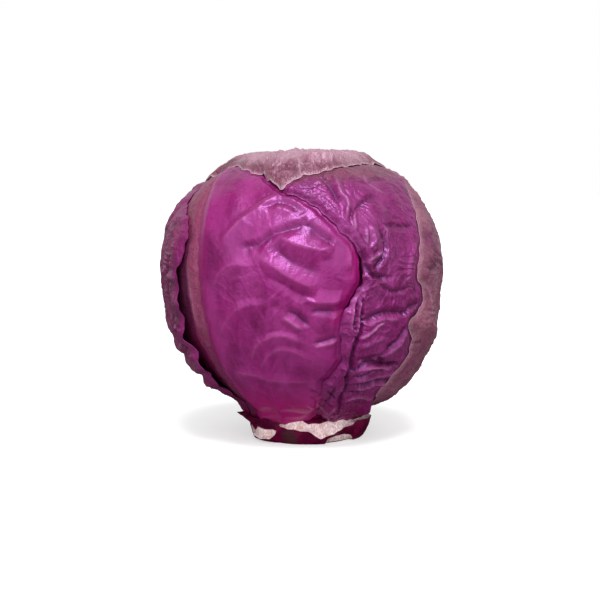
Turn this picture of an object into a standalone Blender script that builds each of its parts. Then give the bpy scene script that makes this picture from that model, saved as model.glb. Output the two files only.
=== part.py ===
"""A red cabbage head as picked: a dense heart, six large leaves wrapped round it, and the short trimmed stem.

Metres, +Z up. The origin is the middle of the stem's flat cut, and -Y is the front.
Each leaf is drawn as longitudes and latitudes on the head, filled with triangles in its own flat map,
and then draped over the heart and over the leaves beneath it, by one formula of the direction from the
head's centre. Longitude 0 is the front, 90 the right, and latitude 90 the crown.
"""

import math
import random

import bmesh
import bpy
import numpy as np
from mathutils import Vector
from mathutils.geometry import delaunay_2d_cdt

MM = 0.001

# The head
HEAD_CENTRE = np.array((-0.003, 0.0, 0.0885))
MAP_RADIUS = 0.080
PROFILE_STEP = 15
LEFT_PROFILE_MM = (66, 69, 70, 70.5, 72, 72.5, 73, 76, 77.5, 75.5, 72.5, 70.5, 70)
RIGHT_PROFILE_MM = (66, 72, 80.5, 80.5, 78.5, 76, 75, 77, 78.5, 79.5, 76.5, 75, 70)
HEART_DENT = 0.008
HEART_DENT_AT = (25, 5)
HEART_DENT_REACH = 0.016
HEART_SUBDIVISIONS = 4

# How the leaves lie on each other
FIRST_GAP = 0.0006
BLADE = 0.0010
SPACING = 0.0019
RIB_HEIGHT = 0.0022
RIB_WIDTH = 0.0055
COVER_REACH = 0.016
COVER_LIP = 0.001
HIDING_REACH = 0.006
LATTICE = 0.0082
OUTLINE_STEP = 0.0060
KEEP_OFF_EDGE = 0.6

# The stem
STEM_SIDES = 60
STEM_FOOT_RADIUS = 0.027
STEM_WAIST = 0.029
STEM_SHOULDER = (0.0262, 0.0145)
STEM_NECK = (0.0235, 0.0180)


def direction(longitude, latitude):
    """Unit vectors from the head's centre, for arrays of degrees."""
    lon, lat = np.radians(longitude), np.radians(latitude)
    return np.stack((np.sin(lon) * np.cos(lat), -np.cos(lon) * np.cos(lat), np.sin(lat)), axis=-1)


def smooth(share):
    """0 below 0, 1 above 1, and an S between."""
    share = np.clip(share, 0.0, 1.0)
    return share * share * (3.0 - 2.0 * share)


def spline(points, share):
    """The Catmull-Rom curve through points, at positions counted in points."""
    start = np.clip(np.floor(share).astype(int), 0, len(points) - 2)
    t = share - start
    if points.ndim > 1:
        t = t[:, None]
    before = points[np.clip(start - 1, 0, None)]
    first, second = points[start], points[start + 1]
    after = points[np.clip(start + 2, None, len(points) - 1)]
    bend = 2 * before - 5 * first + 4 * second - after
    twist = 3 * first - before - 3 * second + after
    return first + 0.5 * t * (second - before + t * (bend + t * twist))


def heart_radius(toward):
    """The dense head under all the leaves, fuller at its upper left and its lower right."""
    latitude = np.degrees(np.arcsin(np.clip(toward[:, 2], -1, 1)))
    place = (latitude + 90) / PROFILE_STEP
    left = spline(np.array(LEFT_PROFILE_MM, float), place)
    right = spline(np.array(RIGHT_PROFILE_MM, float), place)
    share = 0.5 + 0.5 * toward[:, 0]
    return (left + (right - left) * share) * MM


class Leaf:
    """One leaf: its outline on the head, from the base round, and the shapes raised on it."""

    def __init__(self, name, centre, outline, colour, rib, swell, ragged, folds=(), lifts=(), seed=1):
        self.name = name
        self.centre = direction(*centre)
        self.east = direction(centre[0] + 90, 0)
        self.north = np.cross(self.east, -self.centre)
        self.colour = colour
        self.swell = swell * MM
        self.ragged = ragged
        self.random = random.Random(seed)
        self.waves = [self.swell_wave() for _ in range(5)]
        self.notches = [self.random.uniform(0, 2 * math.pi) for _ in range(3)]
        self.outline = self.margin(outline)
        self.rib = self.route(rib)
        self.folds = [(self.route(points), width * MM, height * MM) for points, width, height in folds]
        self.lifts = lifts

    def swell_wave(self):
        """One broad wave over the leaf: which way it runs, how tight it is and where it starts."""
        heading = Vector([self.random.gauss(0, 1) for _ in range(3)]).normalized()
        return np.array(heading) * self.random.uniform(6, 15), self.random.uniform(0, 2 * math.pi)

    def to_map(self, toward):
        """Directions to places in the leaf's flat map, which keeps distances from its centre."""
        along = np.clip(toward @ self.centre, -1, 1)
        across = np.stack((toward @ self.east, toward @ self.north), axis=-1)
        length = np.maximum(np.linalg.norm(across, axis=-1, keepdims=True), 1e-9)
        return across / length * (np.arccos(along) * MAP_RADIUS)[:, None]

    def from_map(self, places):
        """Places in the flat map back to directions."""
        angle = np.linalg.norm(places, axis=-1) / MAP_RADIUS
        scale = np.sin(angle) / np.maximum(angle * MAP_RADIUS, 1e-9)
        across = places * scale[:, None]
        return across[:, :1] * self.east + across[:, 1:] * self.north + np.cos(angle)[:, None] * self.centre

    def route(self, points):
        """A line drawn on the head, as map points about OUTLINE_STEP apart."""
        corners = self.to_map(direction(*np.array(points, float).T))
        curve = spline(corners, np.linspace(0, len(corners) - 1, 40))
        return even_steps(curve, OUTLINE_STEP)

    def margin(self, points):
        """The outline as a closed curve in the map, with its ragged waves."""
        corners = self.to_map(direction(*np.array(points, float).T))
        ring = np.concatenate((corners[-2:], corners, corners[:3]))
        curve = even_steps(spline(ring, np.linspace(2, len(corners) + 2, 60 * len(corners))), OUTLINE_STEP)[:-1]
        ahead = np.roll(curve, -1, axis=0) - np.roll(curve, 1, axis=0)
        outward = np.stack((ahead[:, 1], -ahead[:, 0]), axis=-1)
        outward /= np.linalg.norm(outward, axis=-1, keepdims=True)
        along = np.arange(len(curve)) * OUTLINE_STEP
        size, length = self.ragged
        wave = sum(
            np.sin(2 * math.pi * along / (length * MM * stretch) + start)
            for stretch, start in zip((1.0, 0.57, 2.3), self.notches)
        )
        return curve + outward * (wave * size * MM / 3)[:, None]

    def cover(self, toward, reach):
        """1 over the leaf and its lip, falling to 0 at this distance outside it."""
        inside, _ = edge_distance(self.to_map(toward), self.outline)
        return smooth((inside + reach) / (reach - COVER_LIP))

    def relief(self, toward):
        """How far the leaf's own swellings, folds and lifted margins raise it."""
        places = self.to_map(toward)
        height = self.swell * (0.5 + 0.5 * sum(np.sin(toward @ way + start) for way, start in self.waves) / 5)
        for line, width, rise in self.folds:
            height = height + rise * np.exp(-((line_distance(places, line) / width) ** 2))
        inside, along = edge_distance(places, self.outline)
        for where, spread, rise, reach, ripple in self.lifts:
            away = np.degrees(np.arccos(np.clip(toward @ direction(*where), -1, 1)))
            near = np.exp(-((away / spread) ** 2)) * (1 - smooth(inside / (reach * MM)))
            height = height + rise * MM * near * (1 + ripple * np.sin(2 * math.pi * along / 0.021))
        return height

    def rib_height(self, toward):
        """How far the midrib stands out of the outer face, less and less towards the tip."""
        places = self.to_map(toward)
        away = line_distance(places, self.rib)
        share = np.linalg.norm(places - self.rib[0], axis=-1) / np.linalg.norm(self.rib[-1] - self.rib[0])
        return RIB_HEIGHT * (1 - smooth(share)) * np.exp(-((away / RIB_WIDTH) ** 2))


def even_steps(curve, step):
    """The same curve with its points evenly apart."""
    lengths = np.concatenate(([0], np.cumsum(np.linalg.norm(np.diff(curve, axis=0), axis=1))))
    count = max(2, round(lengths[-1] / step) + 1)
    wanted = np.linspace(0, lengths[-1], count)
    return np.stack([np.interp(wanted, lengths, curve[:, axis]) for axis in (0, 1)], axis=-1)


def line_distance(places, line):
    """How far each place is from a line of straight pieces."""
    start, piece = line[:-1], np.diff(line, axis=0)
    offset = places[:, None, :] - start
    share = np.clip((offset * piece).sum(-1) / (piece * piece).sum(-1), 0, 1)
    return np.linalg.norm(offset - share[..., None] * piece, axis=-1).min(axis=1)


def edge_distance(places, ring):
    """Distance to a closed outline, positive inside it, and how far along the outline that is."""
    start, end = ring, np.roll(ring, -1, axis=0)
    piece = end - start
    offset = places[:, None, :] - start
    share = np.clip((offset * piece).sum(-1) / (piece * piece).sum(-1), 0, 1)
    away = np.linalg.norm(offset - share[..., None] * piece, axis=-1)
    nearest = away.argmin(axis=1)
    rows = np.arange(len(places))
    height = places[:, 1:]
    crosses = (start[:, 1] > height) != (end[:, 1] > height)
    rise = np.where(np.abs(piece[:, 1]) < 1e-12, 1e-12, piece[:, 1])
    meets = start[:, 0] + (height - start[:, 1]) * piece[:, 0] / rise
    inside = (crosses & (places[:, :1] < meets)).sum(axis=1) % 2 == 1
    along = (nearest + share[rows, nearest]) * OUTLINE_STEP
    return np.where(inside, 1, -1) * away[rows, nearest], along


def leaves():
    """The six leaves, from the innermost out."""
    left = Leaf(
        "left_leaf",
        centre=(-75, 0),
        outline=((-50, -65), (-36, -50), (-30, -20), (-30, 10), (-38, 38), (-60, 60), (-100, 66),
                 (-122, 45), (-128, 10), (-122, -25), (-108, -52), (-85, -65)),
        colour=(0.24, 0.05, 0.14),
        rib=((-68, -66), (-74, -30), (-78, 10), (-80, 40)),
        swell=1.4,
        ragged=(1.2, 26),
        seed=11,
    )
    front = Leaf(
        "front_leaf",
        centre=(-10, 0),
        outline=((-50, -65), (-45, -56), (-45, -45), (-44, -28), (-45, -13), (-46, -2), (-47, 12), (-49, 23),
                 (-52, 31), (-56, 38), (-66, 47), (-80, 58), (-60, 72), (-10, 74), (22, 62), (31, 45), (30, 30),
                 (25, 19), (24, 13), (23, 7), (20, 0), (18, -5), (24, -14), (28, -28), (27, -45), (20, -62), (2, -66),
                 (-28, -66)),
        colour=(0.33, 0.02, 0.19),
        rib=((-20, -65), (-16, -30), (-12, 10), (-12, 45)),
        swell=1.6,
        ragged=(0.5, 22),
        folds=(
            (((-23, 21), (-15, 26), (-7, 29), (4, 31)), 5, 1.6),
            (((-28, 2), (-12, 4), (2, 8), (14, 14)), 6, 1.4),
            (((-8, 36), (-14, 28), (-24, 16)), 5, 1.0),
            (((0, -12), (8, -10), (15, -8)), 4, 1.4),
            (((-30, -30), (-20, -36), (-6, -38)), 6, 1.0),
        ),
        lifts=(((23, 6), 14, 2.6, 9, 0.0),),
        seed=4,
    )
    right = Leaf(
        "right_leaf",
        centre=(60, 0),
        outline=((30, -65), (13, -60), (14, -41), (15, -32), (18, -26), (16, -16), (17, -8), (21, -3), (25, 2),
                 (27, 7), (26, 13), (23, 20), (17, 27), (9, 35), (0, 41), (-14, 47), (-30, 60), (0, 76),
                 (80, 72), (112, 50), (120, 25), (122, 0), (114, -28), (96, -48), (76, -60), (52, -65)),
        colour=(0.22, 0.03, 0.16),
        rib=((46, -66), (58, -30), (66, 5), (68, 45)),
        swell=1.6,
        ragged=(1.0, 13),
        folds=(
            (((16, 44), (22, 34), (27, 27)), 4, 2.2),
            (((26, 40), (30, 32), (34, 24)), 4, 1.4),
            (((26, 9), (33, 3), (42, 5), (46, 14)), 4, 2.4),
            (((30, -6), (38, -3), (50, -3), (60, 0)), 4, 2.4),
            (((48, -10), (47, -20), (38, -28)), 4.5, 2.8),
            (((22, -26), (32, -24), (44, -24), (52, -20)), 4, 2.0),
            (((20, -34), (34, -30), (46, -30)), 4, 2.0),
            (((20, -44), (32, -42), (42, -38)), 4, 1.8),
            (((24, -54), (36, -50), (48, -46)), 4.5, 1.6),
            (((24, 0), (22, -10), (24, -18)), 3.5, 2.4),
            (((60, -57), (72, -58)), 9, 2.6),
        ),
        lifts=(((22, -2), 34, 1.8, 7, 0.5),),
        seed=7,
    )
    left_outer = Leaf(
        "left_outer_leaf",
        centre=(-105, 0),
        outline=((-78, -65), (-62, -58), (-55, -46), (-54, -36), (-55, -26), (-57, -16), (-60, -6), (-63, 4),
                 (-64, 14), (-64, 24), (-65, 33), (-66, 41), (-62, 53), (-80, 70), (-140, 66), (-156, 40),
                 (-160, 0), (-150, -40), (-128, -62), (-104, -66)),
        colour=(0.20, 0.05, 0.13),
        rib=((-96, -66), (-108, -30), (-112, 10), (-108, 48)),
        swell=1.6,
        ragged=(1.8, 15),
        folds=(
            (((-84, 40), (-88, 20), (-92, -4)), 5, 1.4),
            (((-100, 30), (-96, 6), (-98, -24)), 5, 1.4),
        ),
        lifts=(((-60, -14), 42, 4.6, 19, 0.3),),
        seed=21,
    )
    right_outer = Leaf(
        "right_outer_leaf",
        centre=(100, 0),
        outline=((96, -64), (80, -57), (66, -50), (61, -42), (62, -37), (57, -27), (55, -17), (49, -8), (51, -2), (56, 8),
                 (60, 17), (65, 28), (76, 40), (90, 50), (96, 60), (130, 68), (152, 50), (160, 10), (156, -30),
                 (138, -60), (108, -66)),
        colour=(0.26, 0.06, 0.16),
        rib=((96, -66), (104, -30), (108, 10), (110, 48)),
        swell=1.6,
        ragged=(1.4, 18),
        folds=(
            (((66, -14), (80, -20), (96, -24)), 5, 1.4),
            (((70, 22), (82, 8), (98, 0)), 5, 1.4),
        ),
        lifts=(((54, -4), 30, 1.6, 8, 0.3),),
        seed=31,
    )
    crown = Leaf(
        "crown_leaf",
        centre=(180, 30),
        outline=((-166, -65), (-148, -50), (-136, -25), (-130, 5), (-122, 28), (-104, 46), (-80, 57), (-70, 60),
                 (-53, 58), (-38, 57), (-30, 56), (-21, 51), (-11, 46), (-5, 50), (2, 53), (11, 55), (24, 58),
                 (37, 60), (66, 62), (96, 57), (118, 40), (128, 20), (134, -5), (140, -30), (150, -52), (168, -65)),
        colour=(0.30, 0.10, 0.20),
        rib=((180, -66), (180, -30), (178, 10), (182, 50), (220, 80)),
        swell=1.2,
        ragged=(1.6, 17),
        folds=(
            (((-150, 30), (-164, 10), (-174, -14)), 5, 1.6),
            (((150, 34), (164, 12), (174, -10)), 5, 1.6),
            (((-130, 60), (-165, 52), (179, 36)), 5, 1.4),
            (((110, 62), (150, 58), (178, 44)), 5, 1.4),
        ),
        lifts=(((-14, 52), 22, 1.2, 8, 0.2),),
        seed=41,
    )
    return [left, front, right, left_outer, right_outer, crown]


LEAVES = leaves()


def draped_faces(number, toward):
    """The radii of a leaf's two faces: the heart, every leaf under it here, and its own relief and rib."""
    covers = [leaf.cover(toward, COVER_REACH) for leaf in LEAVES]
    hiding = [leaf.cover(toward, HIDING_REACH) for leaf in LEAVES]
    radius = heart_radius(toward) + FIRST_GAP
    for index, leaf in enumerate(LEAVES[: number + 1]):
        seen = np.ones(len(toward))
        for above in hiding[index + 1 :]:
            seen = seen * (1 - above)
        relief = leaf.relief(toward) * seen
        radius = radius + (relief if index == number else covers[index] * (SPACING + relief))
    return radius, radius + BLADE + LEAVES[number].rib_height(toward) * seen


def filled_map(leaf):
    """Triangles over the leaf's map: its outline, its folds and rib as edges, and an even lattice between."""
    points = list(leaf.outline)
    edges = [(i, (i + 1) % len(points)) for i in range(len(points))]
    for line in [leaf.rib, *[fold[0] for fold in leaf.folds]]:
        inside, _ = edge_distance(line, leaf.outline)
        kept = line[inside > KEEP_OFF_EDGE * LATTICE]
        edges += [(len(points) + i, len(points) + i + 1) for i in range(len(kept) - 1)]
        points += list(kept)
    low, high = leaf.outline.min(axis=0), leaf.outline.max(axis=0)
    rows = np.arange(low[1], high[1], LATTICE * math.sqrt(3) / 2)
    lattice = []
    for number, height in enumerate(rows):
        across = np.arange(low[0] + LATTICE / 2 * (number % 2), high[0], LATTICE)
        lattice.append(np.stack((across, np.full(len(across), height)), axis=-1))
    lattice = np.concatenate(lattice)
    inside, _ = edge_distance(lattice, leaf.outline)
    lattice = lattice[inside > KEEP_OFF_EDGE * LATTICE]
    lines = np.array(points[len(leaf.outline) :])
    clear = np.linalg.norm(lattice[:, None] - lines, axis=-1).min(axis=1) > KEEP_OFF_EDGE * LATTICE
    points += list(lattice[clear])
    flat = delaunay_2d_cdt([Vector(point) for point in points], edges, [], 1, 1e-7)
    return np.array([tuple(point) for point in flat[0]]), flat[2]


def new_object(name, mesh, colour, roughness=0.45):
    """An object of this mesh, smooth, in the cabbage's collection, with its own material."""
    material = bpy.data.materials.new(name)
    material.use_nodes = True
    shader = material.node_tree.nodes["Principled BSDF"]
    shader.inputs["Base Color"].default_value = (*colour, 1)
    shader.inputs["Roughness"].default_value = roughness
    shader.inputs["Metallic"].default_value = 0
    mesh.materials.append(material)
    mesh.shade_smooth()
    built = bpy.data.objects.new(name, mesh)
    CABBAGE.objects.link(built)
    return built


def leaf_object(number):
    """The leaf draped on the head: one sheet, extruded outward along the radii to its thickness."""
    leaf = LEAVES[number]
    places, triangles = filled_map(leaf)
    toward = leaf.from_map(places)
    inner, outer = draped_faces(number, toward)
    sheet = bmesh.new()
    number_of = sheet.verts.layers.int.new("number")
    corners = [sheet.verts.new(HEAD_CENTRE + way * radius) for way, radius in zip(toward, inner)]
    for index, corner in enumerate(corners):
        corner[number_of] = index
    for triangle in triangles:
        sheet.faces.new([corners[i] for i in triangle])
    raised = bmesh.ops.extrude_face_region(sheet, geom=sheet.faces[:])["geom"]
    for corner in [item for item in raised if isinstance(item, bmesh.types.BMVert)]:
        index = corner[number_of]
        corner.co = HEAD_CENTRE + toward[index] * outer[index]
    bmesh.ops.recalc_face_normals(sheet, faces=sheet.faces[:])
    mesh = bpy.data.meshes.new(leaf.name)
    sheet.to_mesh(mesh)
    sheet.free()
    return new_object(leaf.name, mesh, leaf.colour)


def heart_object():
    """The dense packed inside, dented where it shows in the gap between the front and right leaves."""
    ball = bmesh.new()
    bmesh.ops.create_icosphere(ball, subdivisions=HEART_SUBDIVISIONS, radius=1)
    toward = np.array([tuple(corner.co.normalized()) for corner in ball.verts])
    away = np.arccos(np.clip(toward @ direction(*HEART_DENT_AT), -1, 1)) * MAP_RADIUS
    radius = heart_radius(toward) - HEART_DENT * np.exp(-((away / HEART_DENT_REACH) ** 2))
    for corner, way, size in zip(ball.verts, toward, radius):
        corner.co = HEAD_CENTRE + way * size
    mesh = bpy.data.meshes.new("heart")
    ball.to_mesh(mesh)
    ball.free()
    return new_object("heart", mesh, (0.12, 0.01, 0.08))


# The cut leaf stalks round the stem: middle longitude, half width, reach, and the cut's lower and upper height
STALK_CUTS = (
    (-8, 30, 0.034, 0.0060, 0.0150),
    (42, 34, 0.036, 0.0050, 0.0145),
    (84, 22, 0.038, 0.0070, 0.0145),
    (128, 34, 0.035, 0.0050, 0.0140),
    (-178, 36, 0.034, 0.0060, 0.0140),
    (-126, 32, 0.035, 0.0055, 0.0145),
    (-86, 16, 0.040, 0.0100, 0.0150),
    (-50, 24, 0.034, 0.0030, 0.0080),
)


def stem_rings(longitude):
    """The stem's side at one longitude, from the foot up: radius and height of each ring."""
    reach, low, high, total = STEM_WAIST, 0.0, 0.0, 1e-6
    for middle, half, radius, lower, upper in STALK_CUTS:
        apart = abs((longitude - middle + 180) % 360 - 180) / half
        share = max(0.0, 1 - apart**3)
        reach = max(reach, STEM_WAIST + (radius - STEM_WAIST) * share)
        weight = math.exp(-((1.6 * apart) ** 2))
        low, high, total = low + lower * weight, high + upper * weight, total + weight
    low, high = low / total, high / total
    return (
        (STEM_FOOT_RADIUS, 0.0),
        ((STEM_FOOT_RADIUS + reach) / 2, low * 0.4),
        (reach, low),
        ((reach + STEM_SHOULDER[0]) / 2 + 0.001, high),
        STEM_SHOULDER,
        STEM_NECK,
    )


def stump_object():
    """The stem as cut: a flat foot, the purple rind up to the pale cuts of the trimmed stalks, and a neck."""
    stem = bmesh.new()
    columns = []
    for side in range(STEM_SIDES):
        longitude = 360 * side / STEM_SIDES
        flat = direction(longitude, 0)
        columns.append([stem.verts.new((flat[0] * r, flat[1] * r, z)) for r, z in stem_rings(longitude)])
    for side, column in enumerate(columns):
        following = columns[(side + 1) % STEM_SIDES]
        for ring in range(len(column) - 1):
            stem.faces.new((column[ring], following[ring], following[ring + 1], column[ring + 1]))
    for ring in (0, -1):
        stem.faces.new([column[ring] for column in columns])
    bmesh.ops.recalc_face_normals(stem, faces=stem.faces[:])
    mesh = bpy.data.meshes.new("stump")
    stem.to_mesh(mesh)
    stem.free()
    built = new_object("stump", mesh, (0.62, 0.45, 0.36), 0.7)
    mesh.set_sharp_from_angle(angle=math.radians(35))
    return built


for old in list(bpy.data.objects):
    bpy.data.objects.remove(old)
CABBAGE = bpy.data.collections.new("red_cabbage_head")
bpy.context.scene.collection.children.link(CABBAGE)

heart_object()
stump_object()
for place_in_order in range(len(LEAVES)):
    leaf_object(place_in_order)
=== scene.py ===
"""The looks of a red cabbage head: waxy leaves with folds, veins and thin margins, on a cut stem."""

import math
import random

import bpy
import numpy as np
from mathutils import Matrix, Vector
from mathutils.geometry import delaunay_2d_cdt


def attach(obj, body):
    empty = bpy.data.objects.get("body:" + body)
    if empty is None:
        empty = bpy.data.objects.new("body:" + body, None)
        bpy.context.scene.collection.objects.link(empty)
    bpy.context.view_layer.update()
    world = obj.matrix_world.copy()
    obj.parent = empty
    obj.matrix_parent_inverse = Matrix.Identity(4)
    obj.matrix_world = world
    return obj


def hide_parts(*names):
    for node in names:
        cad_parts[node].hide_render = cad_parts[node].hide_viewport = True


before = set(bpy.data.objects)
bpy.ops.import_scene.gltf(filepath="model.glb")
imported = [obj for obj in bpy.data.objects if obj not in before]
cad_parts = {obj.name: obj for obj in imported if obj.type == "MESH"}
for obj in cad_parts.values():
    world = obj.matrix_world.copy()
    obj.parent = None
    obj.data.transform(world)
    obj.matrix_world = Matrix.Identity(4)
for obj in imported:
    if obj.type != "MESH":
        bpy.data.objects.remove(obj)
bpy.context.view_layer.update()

MM = 0.001

# The head in metres, with the radii of its left and right side every PROFILE_STEP degrees, as in part.py
HEAD_CENTRE = np.array((-0.003, 0.0, 0.0885))
MAP_RADIUS = 0.080
PROFILE_STEP = 15
LEFT_PROFILE_MM = (66, 69, 70, 70.5, 72, 72.5, 73, 76, 77.5, 75.5, 72.5, 70.5, 70)
RIGHT_PROFILE_MM = (66, 72, 80.5, 80.5, 78.5, 76, 75, 77, 78.5, 79.5, 76.5, 75, 70)

# How the leaves lie on each other: gaps, thicknesses and the reach of what one leaf does to the next
FIRST_GAP = 0.0006
BLADE = 0.0010
EDGE_TAPER = 0.003
SPACING = 0.0019
DEEPEST_VALLEY = -0.0006
COVER_REACH = 0.016
COVER_LIP = 0.001
HIDING_REACH = 0.005
PRESSED_SHARE = 0.97
PRESSED_RELIEF = 0.15
CLEAR = 0.0001
CLIMB = 0.003

# How finely things are worked out
NEAR_EDGE = 0.020
TABLE_STEP = 0.002
ROUTE_STEP = 0.0015
ROUTE_POINTS = 60
MARGIN_POINTS = 80
COARSE_STEP = 0.003
KEEP_OFF_EDGE = 0.55
HIDDEN_DEPTH = 0.008
HIDDEN_EVERY = 3
CHUNK = 500
FAR = 9.0
TABLE_ROOM = 0.01
TINY = 1e-9
SLACK = 1e-6
MERGED = 1e-7

# Margins: how much they are nicked, and their waves as multiples of the leaf's own
NICKED = 0.35
NICK_SIZE = 3.2 * MM
DEEPEST_NICK = 1.2
WAVE_STRETCHES = (1.0, 0.57, 2.3)
RIPPLE = 0.021
FRILL_REACH = 0.006
FRILL_SIZE = 0.009

# Swellings, folds, creases and facets
SWELL_WAVES = 5
SWELL_TIGHTNESS = (6, 15)
FOLD_FADE = 0.45
CALMED = 0.6
LINE_WIDTH = 0.0007
LINE_FADE = 0.18
CREASE_STEP = 0.003
CREASE_FADE = 0.25
CREASE_OVERRUN = 0.05
BESIDE_CREASE = 0.85
FACET_STEP = 0.0006
FACET_SCATTER = 0.38
FACET_ROOM = 0.5
WARP = 9
WARP_SIZE = 30
FINER_PUCKER = 0.4
FINER_PUCKER_RISE = 0.35
FINER_CRUMPLE = (0.45, 0.5)
FINER_CRUMPLE_RISE = 0.4

# Midribs and side veins: a line's width at its start, what it loses to its tip, and how far it reaches
RIB_WIDTH = 0.0042
RIB_REACH = 0.018
RIB_LINE = (0.0022, 0.0012, 0.008)
VEIN_LINE = (0.0011, 0.0005, 0.004)
RIB_FADE = 0.3
FADE_TO_TIP = 0.75
THINNED = 0.5
VEINS_FROM = 0.16
VEINS_SPAN = 0.76
VEIN_OUT_OF_STEP = 0.7
VEIN_STEP = 0.003
VEIN_CLOSING = 22
VEIN_SCATTER = 6
VEIN_BEND = 0.55
VEIN_SHORTER = 0.45
VEIN_WAVER = 0.09
FORKS = ((0.3, 0.55), (0.5, -0.5), (0.72, 0.45))
FORK_BEND = 0.6
FORK_LENGTH = 0.42
FORK_STRENGTH = 0.6
THINNEST = 0.6
SHORTEST = 3

# The leaf stalks, which leave the ball of the head at its foot and run down to the cut stem
BASE_FROM = -63.5
BASE_LATITUDE = -68.6
STALK_FROM = -61.0
STALK_DROP = 0.0085
STALK_CURVE = 1.6
STALK_END = 1.2

# The cut stem, from its foot up
STEM_COLUMNS = 420
STEM_FOOT = 0.0275
FOOT_SHARES = (0.0, 0.25, 0.5, 0.75, 0.92)
LIP_SHARES = np.linspace(0, 1, 7)
RIND_SHARES = np.linspace(0.08, 1, 12)
CUT_SHARES = np.linspace(0.04, 1, 14)
SHOULDER_SHARES = np.linspace(0.1, 1, 10)
NECK_SHARES = np.linspace(0.2, 1, 5)
FOOT_ROUND = 0.0006
FOOT_OUT = 0.0004
FOOT_UP = 0.0003
LIP_SEEN = 0.0004
FOOT_TAPER = 0.42
RIND_BULGE = 0.0006
RIND_CURVE = 0.9
CUT_HOLLOW = 0.0007
CUT_LIP = 0.0012
STEM_SHOULDER = 0.0262
STEM_TOP = 0.0285
SHOULDER_RISE = 0.0020
LOWEST_TOP = 0.0152
STEM_SHARP = 32
NECK_FLARE = 0.0018
BACK_FLARE = 0.0082
NECK_RISE = 0.011
NECK_TOP = 0.022
NECK_CLOSING = 0.003

# The stem's torn surface: the size of each noise in millimetres, how far it moves the rind, and its seed
TORN = ((5, 0.5, 63), (2.2, 0.225, 61), (0.9, 0.1125, 62))
SAGGING = (4, 0.55, 64)
TORN_FROM = 0.0012
SAGGING_FROM = 0.004

# Round the stem: longitude, reach, and the lower and upper height of the cut, in millimetres
STEM_CUTS = (
    (-170, 34, 6, 13.5), (-155, 33, 10, 12), (-148, 32.5, 11.5, 12), (-130, 35, 5.5, 14), (-115, 35, 6, 13),
    (-104, 33.5, 11, 12), (-92, 32.5, 10.2, 10.6), (-84, 32, 8.2, 8.6), (-74, 32, 5, 5.4),
    (-68, 32.5, 3.4, 4), (-62, 33.5, 2.2, 7), (-48, 35, 1.8, 7), (-38, 34, 2.2, 7.2), (-33, 33, 4.5, 6.5),
    (-30, 31.5, 10.5, 11), (-27, 32, 9.5, 11), (-18, 33.5, 9, 14), (-8, 34, 8.7, 15), (2, 34, 7.5, 12),
    (13, 35, 3.7, 12), (27, 35.5, 6.5, 13.5),
    (35, 36, 9, 14), (48, 36, 10.5, 13.5), (56, 35.5, 12, 12.4), (70, 37, 11.4, 11.8), (84, 37.5, 11.8, 12.2),
    (95, 36, 11.5, 12), (105, 34, 12, 12.5), (120, 35, 5, 13), (135, 35, 5, 14), (150, 34.5, 7, 13.5),
    (160, 33, 11.5, 12), (175, 34, 6, 14),
)

# Low cuts near the foot: longitude, half width in degrees and height in millimetres
LOW_CUTS = ((39, 19, 5.0), (-140, 16, 3.5), (150, 14, 3.0))

# The scrap of stalk at the left: longitude and reach in millimetres, and how far up the shoulder its tip is
STUB = ((-98, 0), (-88, 7), (-83, 11), (-72, 8), (-56, 6), (-42, 4), (-33, 0))
STUB_TIP = 0.8
STUB_CURVE = 1.3

# The dried patch on the front of the rind, in millimetres
DRIED_AT = (-10.0, -32.0, 3.5)

# The photograph's view and its light; each lamp has its place, power and width in degrees
VIEW_ELEVATION = 7.5
VIEW_DISTANCE = 1.2
VIEW_TARGET = (-0.00357, 0.0, 0.0781)
METRES_PER_PIXEL = 0.000571
IMAGE_WIDTH = 600
FLOOR_RADIUS = 1.7
FLOOR_BOUNCE = 0.6
FLOOR_MIRRORED = 0.06
FLOOR_GLOW = 0.5
WORLD_LIGHT = 0.12
SENSOR_WIDTH = 36
LAMPS = {
    "front": ((0.0, -1.05, 0.36), 4.5, 130),
    "above": ((0.05, -0.5, 1.0), 3.1, 24),
    "back": ((0.3, 1.2, 0.3), 1.5, 130),
}

# Blender's metres as millimetres, for the sizes in a material
TO_MM = (1000.0, 1000.0, 1000.0)


def direction(longitude, latitude):
    """Unit vectors from the head's centre, for arrays of degrees."""
    lon, lat = np.radians(longitude), np.radians(latitude)
    return np.stack((np.sin(lon) * np.cos(lat), -np.cos(lon) * np.cos(lat), np.sin(lat)), axis=-1)


def smooth(share):
    """0 below 0, 1 above 1, and an S between."""
    share = np.clip(share, 0.0, 1.0)
    return share * share * (3.0 - 2.0 * share)


def bell(share):
    """1 at 0, and less on both sides: about a third is left at 1."""
    return np.exp(-(share**2))


def latitude_of(toward):
    """The latitudes of unit vectors, in degrees."""
    return np.degrees(np.arcsin(np.clip(toward[:, 2], -1, 1)))


def degrees_from(toward, where):
    """How far unit vectors are from a longitude and latitude, in degrees."""
    return np.degrees(np.arccos(np.clip(toward @ direction(*where), -1, 1)))


def spline(points, share):
    """The Catmull-Rom curve through points, at positions counted in points."""
    start = np.clip(np.floor(share).astype(int), 0, len(points) - 2)
    t = share - start
    if points.ndim > 1:
        t = t[:, None]
    before = points[np.clip(start - 1, 0, None)]
    first, second = points[start], points[start + 1]
    after = points[np.clip(start + 2, None, len(points) - 1)]
    bend = 2 * before - 5 * first + 4 * second - after
    twist = 3 * first - before - 3 * second + after
    return first + 0.5 * t * (second - before + t * (bend + t * twist))


def even_steps(curve, step):
    """The same curve with its points evenly apart."""
    lengths = np.concatenate(([0], np.cumsum(np.linalg.norm(np.diff(curve, axis=0), axis=1))))
    count = max(2, round(lengths[-1] / step) + 1)
    wanted = np.linspace(0, lengths[-1], count)
    return np.stack([np.interp(wanted, lengths, curve[:, axis]) for axis in (0, 1)], axis=-1)


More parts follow.
